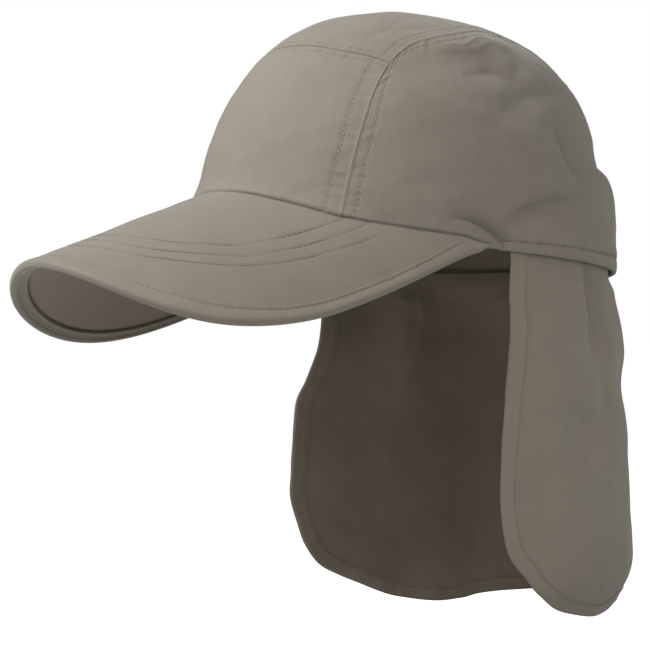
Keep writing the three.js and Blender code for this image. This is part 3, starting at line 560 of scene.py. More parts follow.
def bill_skin(place, depth=0.0):
    """Bill as sewn: the rolled sheet, with its root and its left front edge lifted."""
    across, forward = place[..., 0], place[..., 1]
    apart = np.maximum(np.abs(across) - np.interp(forward, ROOT_FORWARD, ROOT_ACROSS), 0)
    lift = np.interp(forward, ROOT_FORWARD, ROOT_SHIFT) * np.exp(-apart / ROOT_REACH)
    near = smoothstep(across, *NEAR_LIFT["across"]) * smoothstep(forward, *NEAR_LIFT["forward"])
    points = bill_point(place, depth)
    points[..., 2] += lift + NEAR_LIFT["lift"] * near
    return points


ROOT_TURNS = np.radians(np.linspace(-BILL["end_turn"], BILL["end_turn"], 177))
ROOT_HEIGHTS = bill_skin(bill_root(ROOT_TURNS, np.zeros_like(ROOT_TURNS)))[:, 2]


def bill_outline():
    """Outer edge of the flat sheet: a squared oval that ends level with the root."""
    angle = np.linspace(-math.pi / 2, math.pi / 2, 61)
    points = np.stack([
        BILL["half_width"] * power(np.sin(angle), 2 / BILL["side_exponent"]),
        BILL["length"] * power(np.maximum(np.cos(angle), 0), 2 / BILL["front_exponent"]),
    ], axis=-1)
    ends = np.radians([-BILL["end_turn"], BILL["end_turn"]])
    points[[0, -1], 1] = bill_root(ends, np.zeros(2))[:, 1]
    return even_curve(points)


def bill_normal(place):
    dx, dy = np.array([0.5, 0]), np.array([0, 0.5])
    across = bill_skin(place + dx) - bill_skin(place - dx)
    ahead = bill_skin(place + dy) - bill_skin(place - dy)
    return unit(np.cross(across, ahead))


# ---------------------------------------------------------------- flap surface


FLAP_ANGLES = np.linspace(FLAP["start_angle"], math.pi / 2, 6001)
FLAP_BASE = np.stack([
    FLAP["base_half_width"] * power(np.cos(FLAP_ANGLES), 2 / FLAP["exponent"]),
    FLAP["base_rear"] * power(np.sin(FLAP_ANGLES), 2 / FLAP["exponent"]),
], axis=-1)
FLAP_RUNS = lengths_along(FLAP_BASE)
FLAP_START = np.interp(0, FLAP_ANGLES, FLAP_RUNS)
QUARTER = FLAP_RUNS[-1] - FLAP_START


def rim_point(turn):
    chart = chart_point(turn, dome_tilt(turn, HEM["seat"]))
    level = unit(dome_normal(chart) * np.array([1, 1, 0]))
    return crown_point(chart), level


def flap_face(around, z):
    """Bare flap: a squared oval that widens from inside the hem to the free sections."""
    side = np.where(around < 0, -1, 1)
    run = np.clip(QUARTER - np.abs(around) + FLAP_START, 0, FLAP_RUNS[-1])
    out = np.interp(run, FLAP_RUNS, FLAP_BASE[:, 0]) / FLAP["base_half_width"]
    back = np.interp(run, FLAP_RUNS, FLAP_BASE[:, 1]) / FLAP["base_rear"]
    free = np.stack([side * out * value_at(FLAP_SECTIONS, "z", "half_width", z),
                     back * value_at(FLAP_SECTIONS, "z", "rear", z), z], axis=-1)
    turn = side * (math.pi / 2 + np.arctan2(back, out))
    point, normal = RIM(turn)
    sewn = point + normal * (HEM["stand"] - HEM["thickness"] - FLAP["tuck"])
    sewn[..., 2] = z
    return lerp(sewn, free, smoothstep(-z, -FLAP["top"], -FLAP["free"])[..., None])


def rim_lookup():
    """Rim points and directions by turn, read from a fine table."""
    turns = np.linspace(-math.pi, math.pi, 1441)
    points, normals = rim_point(turns)

    def at(turn):
        turn = np.arctan2(np.sin(turn), np.cos(turn))
        return read_columns(turn, turns, points), unit(read_columns(turn, turns, normals))

    return at


RIM = rim_lookup()


def hanging(z):
    return smoothstep(-z, -HEM_EDGE["bottom"][-1], -FLAP["loose"])


def flap_normal(place, step=0.8):
    dx, dz = np.array([step, 0.0]), np.array([0.0, step])
    at = lambda p: flap_face(p[..., 0], p[..., 1])
    across = at(place + dx) - at(place - dx)
    up = at(place + dz) - at(place - dz)
    return unit(np.cross(up, across))


def flap_relief(place):
    around, z = place[..., 0], place[..., 1]
    behind = QUARTER - np.abs(around)
    on_cloth = np.stack([behind, z], axis=-1)
    names = ("m0", "z0", "m1", "z1")
    shared = FLAP_FOLDS["m0"] > QUARTER - FLAP["middle_reach"]
    left = fold_lift(on_cloth, FLAP_FOLDS, names, (FLAP_FOLDS["side"] > 0) | shared)
    right = fold_lift(on_cloth, FLAP_FOLDS, names, (FLAP_FOLDS["side"] < 0) | shared)
    folds = np.where(around < 0, right, left)
    folds = with_creases(folds, on_cloth, around >= 0, FLAP_CREASES)
    soft = 0.35 * ripple(place, 38, 11) + 0.12 * ripple(place, 15, 12)
    return (folds + soft) * hanging(z)


def flap_point(place, depth=0.0):
    lift = flap_relief(place) - depth
    return flap_face(place[..., 0], place[..., 1]) + flap_normal(place) * lift[..., None]


def flap_edge_points():
    left = np.stack([QUARTER - FLAP_EDGE["left"], FLAP_EDGE["z"]], axis=-1)
    right = np.stack([FLAP_EDGE["right"] - QUARTER, FLAP_EDGE["z"]], axis=-1)[::-1]
    return np.concatenate([left, [[0, FLAP_REAR_EDGE]], right])


def inset_edge(points, width):
    share = np.arange(len(points)) / (len(points) - 1)
    ahead = catmull_at(points, share + 1e-4)
    behind = catmull_at(points, np.maximum(share - 1e-4, 0))
    tangent = unit(ahead - behind)
    return points + np.stack([tangent[:, 1], -tangent[:, 0]], axis=-1) * width[:, None]


def band_width(points):
    return value_at(FLAP_BAND, "z", "width", points[:, 1])


# ---------------------------------------------------------------- meshes


def quad_grid(rows, columns, start=0):
    corner = start + np.arange(rows)[:, None] * (columns + 1) + np.arange(columns)[None, :]
    quads = [corner, corner + 1, corner + columns + 2, corner + columns + 1]
    return np.stack(quads, -1).reshape(-1, 4)


def wall_faces(rows, columns):
    """Quads of a closed wall: outer grid, inner grid and the four rims between them."""
    layer = (rows + 1) * (columns + 1)
    outer = quad_grid(rows, columns)
    inner = quad_grid(rows, columns, layer)[:, ::-1]
    index = np.arange(layer).reshape(rows + 1, columns + 1)
    rims = []
    for line in (index[0, ::-1], index[-1], index[:, 0], index[::-1, -1]):
        rims.append(np.stack([line[:-1], line[1:], line[1:] + layer, line[:-1] + layer], -1))
    return outer, inner, np.concatenate(rims)


def mesh_piece(name, points, faces, materials, slots=None, cloth_uv=None, shade_mask=None, smooth=None):
    """Object from points in mm and quads. Faces are turned outward by the sign of the volume."""
    points = np.asarray(points, float).reshape(-1, 3)
    a, b, c, d = (points[faces[:, k]] for k in range(4))
    volume = sum(np.einsum("ij,ij->i", a, np.cross(*sides)) for sides in ((b, c), (c, d))).sum()
    if volume < 0:
        faces = faces[:, ::-1]
    mesh = bpy.data.meshes.new(name)
    mesh.from_pydata((points * MM).tolist(), [], faces.tolist())
    shaded = np.ones(len(faces), dtype=bool) if smooth is None else smooth
    mesh.polygons.foreach_set("use_smooth", shaded)
    for material in materials:
        mesh.materials.append(material)
    if slots is not None:
        mesh.polygons.foreach_set("material_index", np.asarray(slots, dtype=np.int32))
    if cloth_uv is not None:
        layer = mesh.uv_layers.new(name="cloth")
        layer.data.foreach_set("uv", (cloth_uv[faces.ravel()] * MM).astype(np.float32).ravel())
    # The crease attribute holds painted shade, darkest in creases, seams and recesses.
    values = np.zeros(len(points)) if shade_mask is None else np.asarray(shade_mask, float).ravel()
    crease = mesh.attributes.new("crease", "FLOAT", "POINT")
    crease.data.foreach_set("value", values.astype(np.float32))
    mesh.update()
    piece = bpy.data.objects.new(name, mesh)
    bpy.context.scene.collection.objects.link(piece)
    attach(piece, "root")
    return piece


def wall_piece(name, outer, inner, materials, cloth_uv, shade_mask):
    """Closed wall between two grids of points, with its inner face in the second material."""
    rows, columns = outer.shape[0] - 1, outer.shape[1] - 1
    out_faces, in_faces, rim_faces = wall_faces(rows, columns)
    counts = [len(out_faces), len(in_faces), len(rim_faces)]
    slots = np.repeat([0.0, 1.0, 0.0], counts)
    points = np.concatenate([outer.reshape(-1, 3), inner.reshape(-1, 3)])
    uv = np.concatenate([cloth_uv.reshape(-1, 2)] * 2)
    # Painted shade: the inner face gets a weaker copy of the outer face's.
    shade = np.concatenate([shade_mask.ravel(), 0.4 * shade_mask.ravel()])
    faces = np.concatenate([out_faces, in_faces, rim_faces])
    smooth = np.arange(len(faces)) < len(out_faces) + len(in_faces)
    return mesh_piece(name, points, faces, materials, slots, uv, shade, smooth)


def ring_piece(name, rings, materials, cloth_uv, shade_mask, slots=None):
    """Closed band from rings of points that run round a flattened section."""
    stations, sides = rings.shape[0], rings.shape[1]
    start = np.arange(stations - 1)[:, None] * sides
    here, ahead = np.arange(sides)[None, :], (np.arange(sides)[None, :] + 1) % sides
    walls = np.stack([start + here, start + ahead, start + sides + ahead, start + sides + here], -1)
    k = np.arange(sides // 2 - 1)
    cap = np.stack([k, k + 1, sides - 2 - k, sides - 1 - k], -1)
    faces = np.concatenate([walls.reshape(-1, 4), cap[:, ::-1], cap + (stations - 1) * sides])
    index = None
    if slots is not None:
        index = np.concatenate([np.tile(slots, stations - 1), np.zeros(2 * len(cap))])
    smooth = np.arange(len(faces)) < (stations - 1) * sides
    return mesh_piece(name, rings, faces, materials, index, cloth_uv.reshape(-1, 2), shade_mask, smooth)


def runs_along(points, axis):
    """Length along a grid of points from its first line, in one direction."""
    steps = np.linalg.norm(np.diff(points, axis=axis), axis=-1)
    pad = [(0, 0), (0, 0)]
    pad[axis] = (1, 0)
    return np.pad(np.cumsum(steps, axis=axis), pad)


def stitch_row(path, normals, pitch=STITCH["pitch"], skip=1.5, step=0.4):
    """Centres, directions and normals of stitches along a path, skip mm from its ends."""
    runs = lengths_along(path)
    count = max(int((runs[-1] - 2 * skip) / pitch), 1)
    s = skip + (np.arange(count) + 0.5) * (runs[-1] - 2 * skip) / count
    tangent = unit(read_columns(s + step, runs, path) - read_columns(s - step, runs, path))
    return read_columns(s, runs, path), tangent, unit(read_columns(s, runs, normals))


def thread_piece(name, rows, material, radius):
    """One mesh of short arched threads: rings of points along each stitch, closed at its ends."""
    rng = np.random.default_rng(len(name))
    centres, tangents, normals = (np.concatenate(part) for part in zip(*rows))
    across = unit(np.cross(tangents, normals))
    stations = np.array([-1.0, -0.8, -0.3, 0.3, 0.8, 1.0])
    girth = np.array([0.35, 0.85, 1.0, 1.0, 0.85, 0.35])[None] * radius
    arch = STITCH["arch"] * (1 - stations**2)[None] - STITCH["sink"] * radius
    sides = STITCH["ring"]
    k = np.arange(sides)
    angle = k * math.pi / 3
    sway = rng.normal(0, STITCH["sway"], (len(centres), 1, 1, 1))
    spine = (centres[:, None] + tangents[:, None] * (stations * STITCH["length"] / 2)[None, :, None]
             + normals[:, None] * arch[..., None])
    ring = (across[:, None, None] * np.cos(angle)[None, None, :, None]
            + normals[:, None, None] * np.sin(angle)[None, None, :, None])
    points = spine[:, :, None] + ring * girth[..., None, None] + across[:, None, None] * sway
    one = []
    for here in range(0, (len(stations) - 1) * sides, sides):
        ahead, beside = here + sides, (k + 1) % sides
        one.append(np.stack([here + k, here + beside, ahead + beside, ahead + k], -1))
    cap = np.array([[0, 1, 2, 3], [0, 3, 4, 5]])
    one = np.concatenate(one + [cap[:, ::-1], cap + (len(stations) - 1) * sides])
    block = len(stations) * sides
    whole = (one[None] + (np.arange(len(centres)) * block)[:, None, None]).reshape(-1, 4)
    return mesh_piece(name, points.reshape(-1, 3), whole, [material])


# ---------------------------------------------------------------- materials


def cloth_group():
    """Shared cloth effects: weave, mottling and painted shade in creases, seams and recesses, as a
    colour and a normal.
    """
    group = bpy.data.node_groups.new("woven_cloth", "ShaderNodeTree")
    for name, kind, default in (("Colour", "NodeSocketColor", (0.25, 0.22, 0.18, 1)),
                                ("Crease colour", "NodeSocketColor", (0.1, 0.09, 0.07, 1)),
                                ("Weave depth", "NodeSocketFloat", 0.3)):
        socket = group.interface.new_socket(name, in_out="INPUT", socket_type=kind)
        socket.default_value = default
    group.interface.new_socket("Colour", in_out="OUTPUT", socket_type="NodeSocketColor")
    group.interface.new_socket("Normal", in_out="OUTPUT", socket_type="NodeSocketVector")
    nodes, links = group.nodes, group.links
    source, result = nodes.new("NodeGroupInput"), nodes.new("NodeGroupOutput")
    where = nodes.new("ShaderNodeTexCoord")
    cloth = nodes.new("ShaderNodeUVMap")
    cloth.uv_map = "cloth"

    def noise(scale, detail, rough):
        node = nodes.new("ShaderNodeTexNoise")
        node.inputs["Scale"].default_value = scale
        node.inputs["Detail"].default_value = detail
        node.inputs["Roughness"].default_value = rough
        links.new(where.outputs["Object"], node.inputs["Vector"])
        return node.outputs["Fac"]

    def maths(operation, a, b):
        node = nodes.new("ShaderNodeMath")
        node.operation = operation
        for socket, value in zip(node.inputs, (a, b)):
            if isinstance(value, (int, float)):
                socket.default_value = value
            else:
                links.new(value, socket)
        return node.outputs[0]

    def threads(direction):
        node = nodes.new("ShaderNodeTexWave")
        node.bands_direction = direction
        node.inputs["Scale"].default_value = 1150
        node.inputs["Distortion"].default_value = 0.6
        node.inputs["Detail"].default_value = 1.0
        links.new(cloth.outputs["UV"], node.inputs["Vector"])
        return node.outputs["Fac"]

    weave = maths("MULTIPLY", threads("X"), threads("Y"))
    broad = maths("MULTIPLY", noise(38, 3, 0.55), 0.6)
    mottle = maths("ADD", broad, maths("MULTIPLY", noise(170, 2, 0.6), 0.4))
    bright = maths("ADD", maths("MULTIPLY", mottle, 0.26), maths("MULTIPLY", weave, 0.05))
    level = maths("ADD", bright, 0.865)
    scale = nodes.new("ShaderNodeVectorMath")
    scale.operation = "SCALE"
    links.new(source.outputs["Colour"], scale.inputs[0])
    links.new(level, scale.inputs["Scale"])
    # Painted shade: the colour moves toward the painted shade colour where the crease attribute is
    # high.
    crease = nodes.new("ShaderNodeAttribute")
    crease.attribute_name = "crease"
    mix = nodes.new("ShaderNodeMix")
    mix.data_type = "RGBA"
    links.new(crease.outputs["Fac"], mix.inputs["Factor"])
    links.new(scale.outputs[0], mix.inputs["A"])
    links.new(source.outputs["Crease colour"], mix.inputs["B"])
    links.new(mix.outputs["Result"], result.inputs["Colour"])
    fine = maths("ADD", maths("MULTIPLY", noise(900, 3, 0.6), 0.5), maths("MULTIPLY", weave, 0.5))
    bump = nodes.new("ShaderNodeBump")
    bump.inputs["Distance"].default_value = 0.00012
    links.new(source.outputs["Weave depth"], bump.inputs["Strength"])
    links.new(fine, bump.inputs["Height"])
    links.new(bump.outputs["Normal"], result.inputs["Normal"])
    return group


CLOTH_GROUP = cloth_group()


def cloth_material(name, colour, crease, depth=0.4, roughness=0.72, sheen=0.25):
    material = bpy.data.materials.new(name)
    material.use_nodes = True
    nodes, links = material.node_tree.nodes, material.node_tree.links
    shader = nodes["Principled BSDF"]
    effects = nodes.new("ShaderNodeGroup")
    effects.node_tree = CLOTH_GROUP
    effects.inputs["Colour"].default_value = (*colour, 1)
    effects.inputs["Crease colour"].default_value = (*crease, 1)
    effects.inputs["Weave depth"].default_value = depth
    links.new(effects.outputs["Colour"], shader.inputs["Base Color"])
    links.new(effects.outputs["Normal"], shader.inputs["Normal"])
    shader.inputs["Roughness"].default_value = roughness
    shader.inputs["Specular IOR Level"].default_value = 0.3
    shader.inputs["Sheen Weight"].default_value = sheen
    shader.inputs["Sheen Roughness"].default_value = 0.45
    material.diffuse_color = (*colour, 1)
    return material


# Each look's second colour is the painted shade colour that creases, seams and recesses take on.
CROWN_CLOTH = cloth_material("crown_cloth_look", (0.228, 0.2, 0.16), (0.075, 0.063, 0.048))
LINING = cloth_material(
    "inner_cloth_look", (0.23, 0.193, 0.15), (0.09, 0.073, 0.055), 0.35, 0.85, 0.1)
BILL_CLOTH = cloth_material(
    "bill_cloth_look", (0.208, 0.182, 0.144), (0.085, 0.072, 0.055), 0.3, 0.66, 0.3)
UNDER_CLOTH = cloth_material(
    "bill_under_look", (0.265, 0.22, 0.18), (0.08, 0.065, 0.052), 0.35, 0.85, 0.1)
FLAP_CLOTH = cloth_material("flap_cloth_look", (0.24, 0.21, 0.165), (0.085, 0.07, 0.052))
THREAD = cloth_material("thread_look", (0.33, 0.3, 0.25), (0.2, 0.18, 0.14), 0.2, 0.6, 0.2)
FLAP_THREAD = cloth_material(
    "flap_thread_look", (0.25, 0.225, 0.185), (0.12, 0.1, 0.08), 0.2, 0.7, 0.2)
BILL_THREAD = cloth_material(
    "bill_thread_look", (0.15, 0.132, 0.105), (0.1, 0.09, 0.07), 0.2, 0.7, 0.1)
DARK_THREAD = cloth_material(
    "dark_thread_look", (0.13, 0.115, 0.09), (0.1, 0.09, 0.07), 0.2, 0.7, 0.1)


# ---------------------------------------------------------------- crown pieces


def seam_curve(rows, side):
    rows = np.array(rows, float)
    return even_curve(chart_point(side * np.radians(rows[:, 0]), np.radians(rows[:, 1])))


def foot_row(degrees):
    turn = math.radians(degrees)
    z = crown_foot_z(np.array([turn]))
    return (degrees, math.degrees(float(dome_tilt(np.array([turn]), z)[0])))


def side_seam(side):
    return seam_curve([foot_row(SIDE_SEAM_FOOT)] + SIDE_SEAM, side)


def strip_seam(side):
    return seam_curve(STRIP_SEAM + [foot_row(STRIP_SEAM_FOOT)], side)


def front_seam():
    rows = np.array(FRONT_SEAM, float)
    left = chart_point(np.radians(rows[:, 0]), np.radians(rows[:, 1]))
    right = left[1:][::-1] * np.array([-1, 1])
    return even_curve(np.concatenate([right, left]))


def four_edge_patch(u, v, bottom, top, start, end):
    """Patch between four edges: bottom and top at the shares u, start and end at the shares v."""
    u, v = u[None, :, None], v[:, None, None]
    corners = (start[0] * (1 - u) * (1 - v) + end[0] * u * (1 - v)
               + start[-1] * (1 - u) * v + end[-1] * u * v)
    return (bottom[None] * (1 - v) + top[None] * v
            + start[:, None] * (1 - u) + end[:, None] * u - corners)


def pucker(run, seed):
    """Uneven small waves along a seam, 4 to 8 mm long."""
    rng = np.random.default_rng(seed)
    phases = rng.uniform(0, 2 * math.pi, 4)
    lengths = np.array([4.3, 5.9, 7.7, 10.5])
    waves = sum(np.sin(2 * math.pi * run / size + phase + 1.3 * np.sin(run / 13 + phase))
                for size, phase in zip(lengths, phases))
    return waves / 2.6


# How the cloth behaves beside each kind of seam: ridge or groove at the seam, then stitched
# rows at their distances, with puckers over `reach` mm of cloth. `turns` are the turns between
# which a kind grows from nothing to its whole.
SEAM_KINDS = {
    "side_front": dict(crest=0.42, width=0.5, rows=SIDE_STITCHES, pucker=0.3, centre=4.5,
                       reach=4.5),
    "side_rear": dict(crest=0.42, width=0.5, rows=SIDE_STITCHES_REAR, pucker=0.2, centre=3.5,
                      reach=4.0),
    "top_front": dict(crest=-0.35, width=0.6, rows=(3.0,), pucker=0.14, centre=2.5, reach=3.0),
    "strip_top": dict(crest=0.4, width=0.8, rows=(5.5,), pucker=0.22, centre=3.5, reach=4.5),
    "strip_side": dict(crest=0.4, width=0.8, rows=(4.8,), pucker=0.2, centre=3.5, reach=4.0),
    "foot": dict(crest=-0.4, width=0.9, rows=(), pucker=0.0, centre=3.0, reach=3.0, turns=(90, 84)),
    "hem_foot": dict(crest=0.0, width=1.0, rows=(2.3,), pucker=0.45, centre=2.4, reach=3.0,
                     turns=(88, 94)),
}
SEAM_CALM = dict(beside=1.2, ends=2.5, corner=7.0)


def seam_relief(kind, distance, run, whole, seed):
    """Relief and painted shade beside a seam, from distance to it and run along its whole length.
    """
    s = SEAM_KINDS[kind]
    inner = (1 - bell(run, 0, SEAM_CALM["ends"])) * (1 - bell(run, whole, SEAM_CALM["ends"]))
    height = s["crest"] * inner * bell(distance, 0, s["width"])
    # Painted shade in a grooved seam and along each stitched row.
    painted_shade = np.where(s["crest"] < 0, 0.6, 0.0) * bell(distance, 0, 0.7 * s["width"])
    for row in s["rows"]:
        height = height - 0.2 * bell(distance, row, 0.5)
        painted_shade = painted_shade + 0.16 * bell(distance, row, 0.45)
    loose = bell(distance, s["centre"], s["reach"]) * (1 - bell(distance, 0, SEAM_CALM["beside"]))
    calm = (1 - bell(run, 0, SEAM_CALM["corner"])) * (1 - bell(run, whole, SEAM_CALM["corner"]))
    return height + s["pucker"] * pucker(run, seed) * loose * calm, painted_shade


def grid_line(points, distance, wanted, axis):
    """Where each grid line first lies a wanted distance from its edge."""
    lines = points if axis == 1 else np.swapaxes(points, 0, 1)
    spans = distance if axis == 1 else distance.T
    rows = []
    for line, span in zip(lines, spans):
        order = np.argsort(span)
        rows.append([np.interp(wanted, span[order], line[order, k]) for k in range(line.shape[-1])])
    return np.array(rows)


def sewn_row(outer, normal, distance, sides, wanted):
    """Stitches a wanted distance from a seam that runs along one or two sides of the grid."""
    paths, ways = [], []
    for order, side in enumerate(sides):
        axis = 1 if side in ("start", "end") else 0
        path = grid_line(outer, distance[side], wanted, axis)
        way = grid_line(normal, distance[side], wanted, axis)
        for other in set(sides) - {side}:
            apart = grid_line(distance[other][..., None], distance[side], wanted, axis)[:, 0]
            path, way = path[apart >= wanted], way[apart >= wanted]
        paths.append(path[::-1] if order else path)
        ways.append(way[::-1] if order else way)
    return stitch_row(np.concatenate(paths), unit(np.concatenate(ways)))


def crown_panel(name, patch, seams):
    """One panel. seams pairs the sides of the grid along a seam with the seam's kind."""
    base = crown_point(patch)
    degrees = np.abs(np.degrees(chart_turn(patch)))
    u_run, v_run = runs_along(base, 1), runs_along(base, 0)
    distance = {"start": u_run, "end": u_run[:, -1:] - u_run,
                "bottom": v_run, "top": v_run[-1:] - v_run}
    run = {"start": v_run[:, :1], "end": v_run[:, -1:], "bottom": u_run[:1], "top": u_run[-1:]}
    normal = dome_normal(patch)
    relief = np.zeros(base.shape[:2])
    shade_mask = np.zeros(base.shape[:2])
    for index, (sides, kind) in enumerate(seams):
        apart, whole = distance[sides[0]], run[sides[0]].max()
        along = np.broadcast_to(run[sides[0]], apart.shape)
        for side in sides[1:]:
            nearer = distance[side] < apart
            along = np.where(nearer, whole + run[side].max() - run[side], along)
            apart = np.where(nearer, distance[side], apart)
            whole += run[side].max()
        height, painted_shade = seam_relief(kind, apart, along, whole, sum(map(ord, name)) + index)
        share = smoothstep(degrees, *SEAM_KINDS[kind].get("turns", (-2, -1)))
        relief, shade_mask = relief + share * height, np.maximum(shade_mask, share * painted_shade)
    # Painted shade of the sides' deep creases and of the bill's root line.
    shade_mask = np.maximum(shade_mask, crown_shade(chart_turn(patch), base))
    outer = base + normal * relief[..., None]
    inner = base + normal * (0.6 * np.minimum(relief, 0.2) - CLOTH["crown"])[..., None]
    uv = np.stack([u_run, v_run], axis=-1)
    shade_mask = np.clip(shade_mask, 0, 0.9)
    piece = wall_piece(name + "_cloth", outer, inner, [CROWN_CLOTH, LINING], uv, shade_mask)
    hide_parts(name)
    return [(kind, sewn_row(outer, normal, distance, sides, wanted))
            for sides, kind in seams for wanted in SEAM_KINDS[kind]["rows"]]


def crowded(count):
    """Shares from 0 to 1 that lie closer together at both ends."""
    s = np.linspace(0, 1, count + 1)
    return s - 0.6 * np.sin(2 * math.pi * s) / (2 * math.pi)


def crown_pieces():
    """All crown panels; returns the stitched rows that run along the hem."""
    across, rows, along = (crowded(GRID[key]) for key in ("front", "rows", "side"))
    top_share = GRID["side"] / (GRID["side"] + GRID["rows"])
    seam = front_seam()
    side_seams = {side: side_seam(side) for side in (1, -1)}
    strip_seams = {side: strip_seam(side) for side in (1, -1)}
    front = four_edge_patch(
        across, rows,
        crown_foot(np.radians(lerp(-SIDE_SEAM_FOOT, SIDE_SEAM_FOOT, across))),
        seam(across), side_seams[-1](rows), side_seams[1](rows))
    sewn = crown_panel("front_panel", front, [
        (("start",), "side_front"), (("end",), "side_front"), (("top",), "top_front"),
        (("bottom",), "foot")])
    for name, side in (("side_panel_left", 1), ("side_panel_right", -1)):
        turns = side * np.radians(lerp(SIDE_SEAM_FOOT, STRIP_SEAM_FOOT, along))
        patch = four_edge_patch(
            along, rows, crown_foot(turns), strip_seams[side](along * top_share),
            side_seams[side](rows), strip_seams[side](1 - rows * (1 - top_share)))
        sewn += crown_panel(name, patch, [
            (("start",), "side_rear"), (("top", "end"), "strip_side"), (("bottom",), "foot"),
            (("bottom",), "hem_foot")])
    turns = np.radians(lerp(360 - STRIP_SEAM_FOOT, STRIP_SEAM_FOOT, across))
    turns = np.arctan2(np.sin(turns), np.cos(turns))
    v = np.concatenate([rows * (1 - top_share), (1 - along[::-1] * top_share)[1:]])
    patch = four_edge_patch(across, v, crown_foot(turns), seam(across),
                            strip_seams[-1](1 - v), strip_seams[1](1 - v))
    sewn += crown_panel("top_panel", patch, [
        (("start",), "strip_top"), (("end",), "strip_top"), (("top",), "top_front"),
        (("bottom",), "hem_foot")])
    plain = [row for kind, row in sewn if kind != "hem_foot"]
    piece = thread_piece("crown_stitching", plain, THREAD, THREAD_RADIUS["crown"])
    return [row for kind, row in sewn if kind == "hem_foot"]


# ---------------------------------------------------------------- hem, bill and flap pieces


def rear_hem_piece(sewn):
    """Rolled hem: a closed section carried round the back of the rim, and its stitched rows."""
    degrees = np.linspace(HEM["start_turn"], 360 - HEM["start_turn"], GRID["hem"] + 1)
    turn = np.radians(np.where(degrees > 180, degrees - 360, degrees))
    point, normal = RIM(turn)
    aside = np.minimum(degrees, 360 - degrees)
    full = smoothstep(aside, HEM["start_turn"], HEM["full_turn"])
    bottom = value_at(HEM_EDGE, "turn", "bottom", aside)
    top = value_at(HEM_EDGE, "turn", "crease", aside) + HEM["under"] * full
    run = lengths_along(point)
    angle = (np.arange(HEM["sides"]) + 0.5) / HEM["sides"] * 2 * math.pi
    thick = lerp(HEM["end_thickness"], HEM["thickness"], full)
    out = power(np.cos(angle), 0.55)
    rise = power(np.sin(angle), 0.55)
    height = (top - bottom) / 2
    level = (top + bottom) / 2 + 0.12 * ripple(point, 30, 21)
    profile = (0.25 * bell(rise, 0.0, 0.7) - HEM["tuck"] * smoothstep(rise, 0.5, 0.95)) * (out > 0)
    waves = 0.12 * pucker(run, 31)[:, None] * (bell(rise, 0.5, 0.4) * (out > 0))[None]
    middle = lerp(HEM["end_stand"], HEM["stand"], full) - thick / 2
    offset = middle[:, None] + (thick / 2)[:, None] * out[None]
    offset = offset + profile[None] * full[:, None] + waves
    rings = point[:, None] + normal[:, None] * offset[..., None]
    rings[..., 2] = level[:, None] + height[:, None] * rise[None]
    uv = np.stack(np.broadcast_arrays(run[:, None], 6 * angle[None]), -1)
    # Painted shade in the tuck under the hem's top.
    shade_mask = np.broadcast_to(0.45 * (bell(rise, 0.72, 0.14) * (out > 0))[None], offset.shape)
    piece = ring_piece("rear_hem_roll", rings, [CROWN_CLOTH], uv, shade_mask)
    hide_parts("rear_hem")
    kept = [[part[centres[:, 1] > HEM["sewn_from"]] for part in (centres, tangents, normals)]
            for centres, tangents, normals in sewn]
    threads = thread_piece("hem_stitching", kept, DARK_THREAD, THREAD_RADIUS["hem"])


def bill_sections(share):
    """Ends of the bill's lines from root to edge, the width of its band and its thickness."""
    turn = np.radians(lerp(-BILL["end_turn"], BILL["end_turn"], share))
    root = bill_root(turn, np.zeros_like(turn))
    outer = bill_outline()(share)
    tucked = 0.5 * smoothstep(np.abs(np.degrees(turn)), BILL["end_turn"] - 4, BILL["end_turn"])
    outer = lerp(outer, root, tucked[:, None])
    room = length_of(outer - root)[..., 0]
    width = np.minimum(BILL["edge_band"], room * BILL["edge_share"])
    return turn, root, outer, room, width, bill_thickness(turn)


def path_distance(points, path):
    """Distance from points to the nearest part of a path of straight spans."""
    best = np.full(points.shape[:-1], 1e9)
    for a, b in zip(path[:-1], path[1:]):
        t = np.clip((points - a) @ (b - a) / ((b - a) @ (b - a)), 0, 1)
        best = np.minimum(best, np.linalg.norm(points - a - t[..., None] * (b - a), axis=-1))
    return best


def bill_row_path(row):
    """A decorative row over the whole bill, mirrored at the middle."""
    half = np.array(row, float)
    return np.concatenate([half[1:][::-1] * np.array([-1, 1]), half])


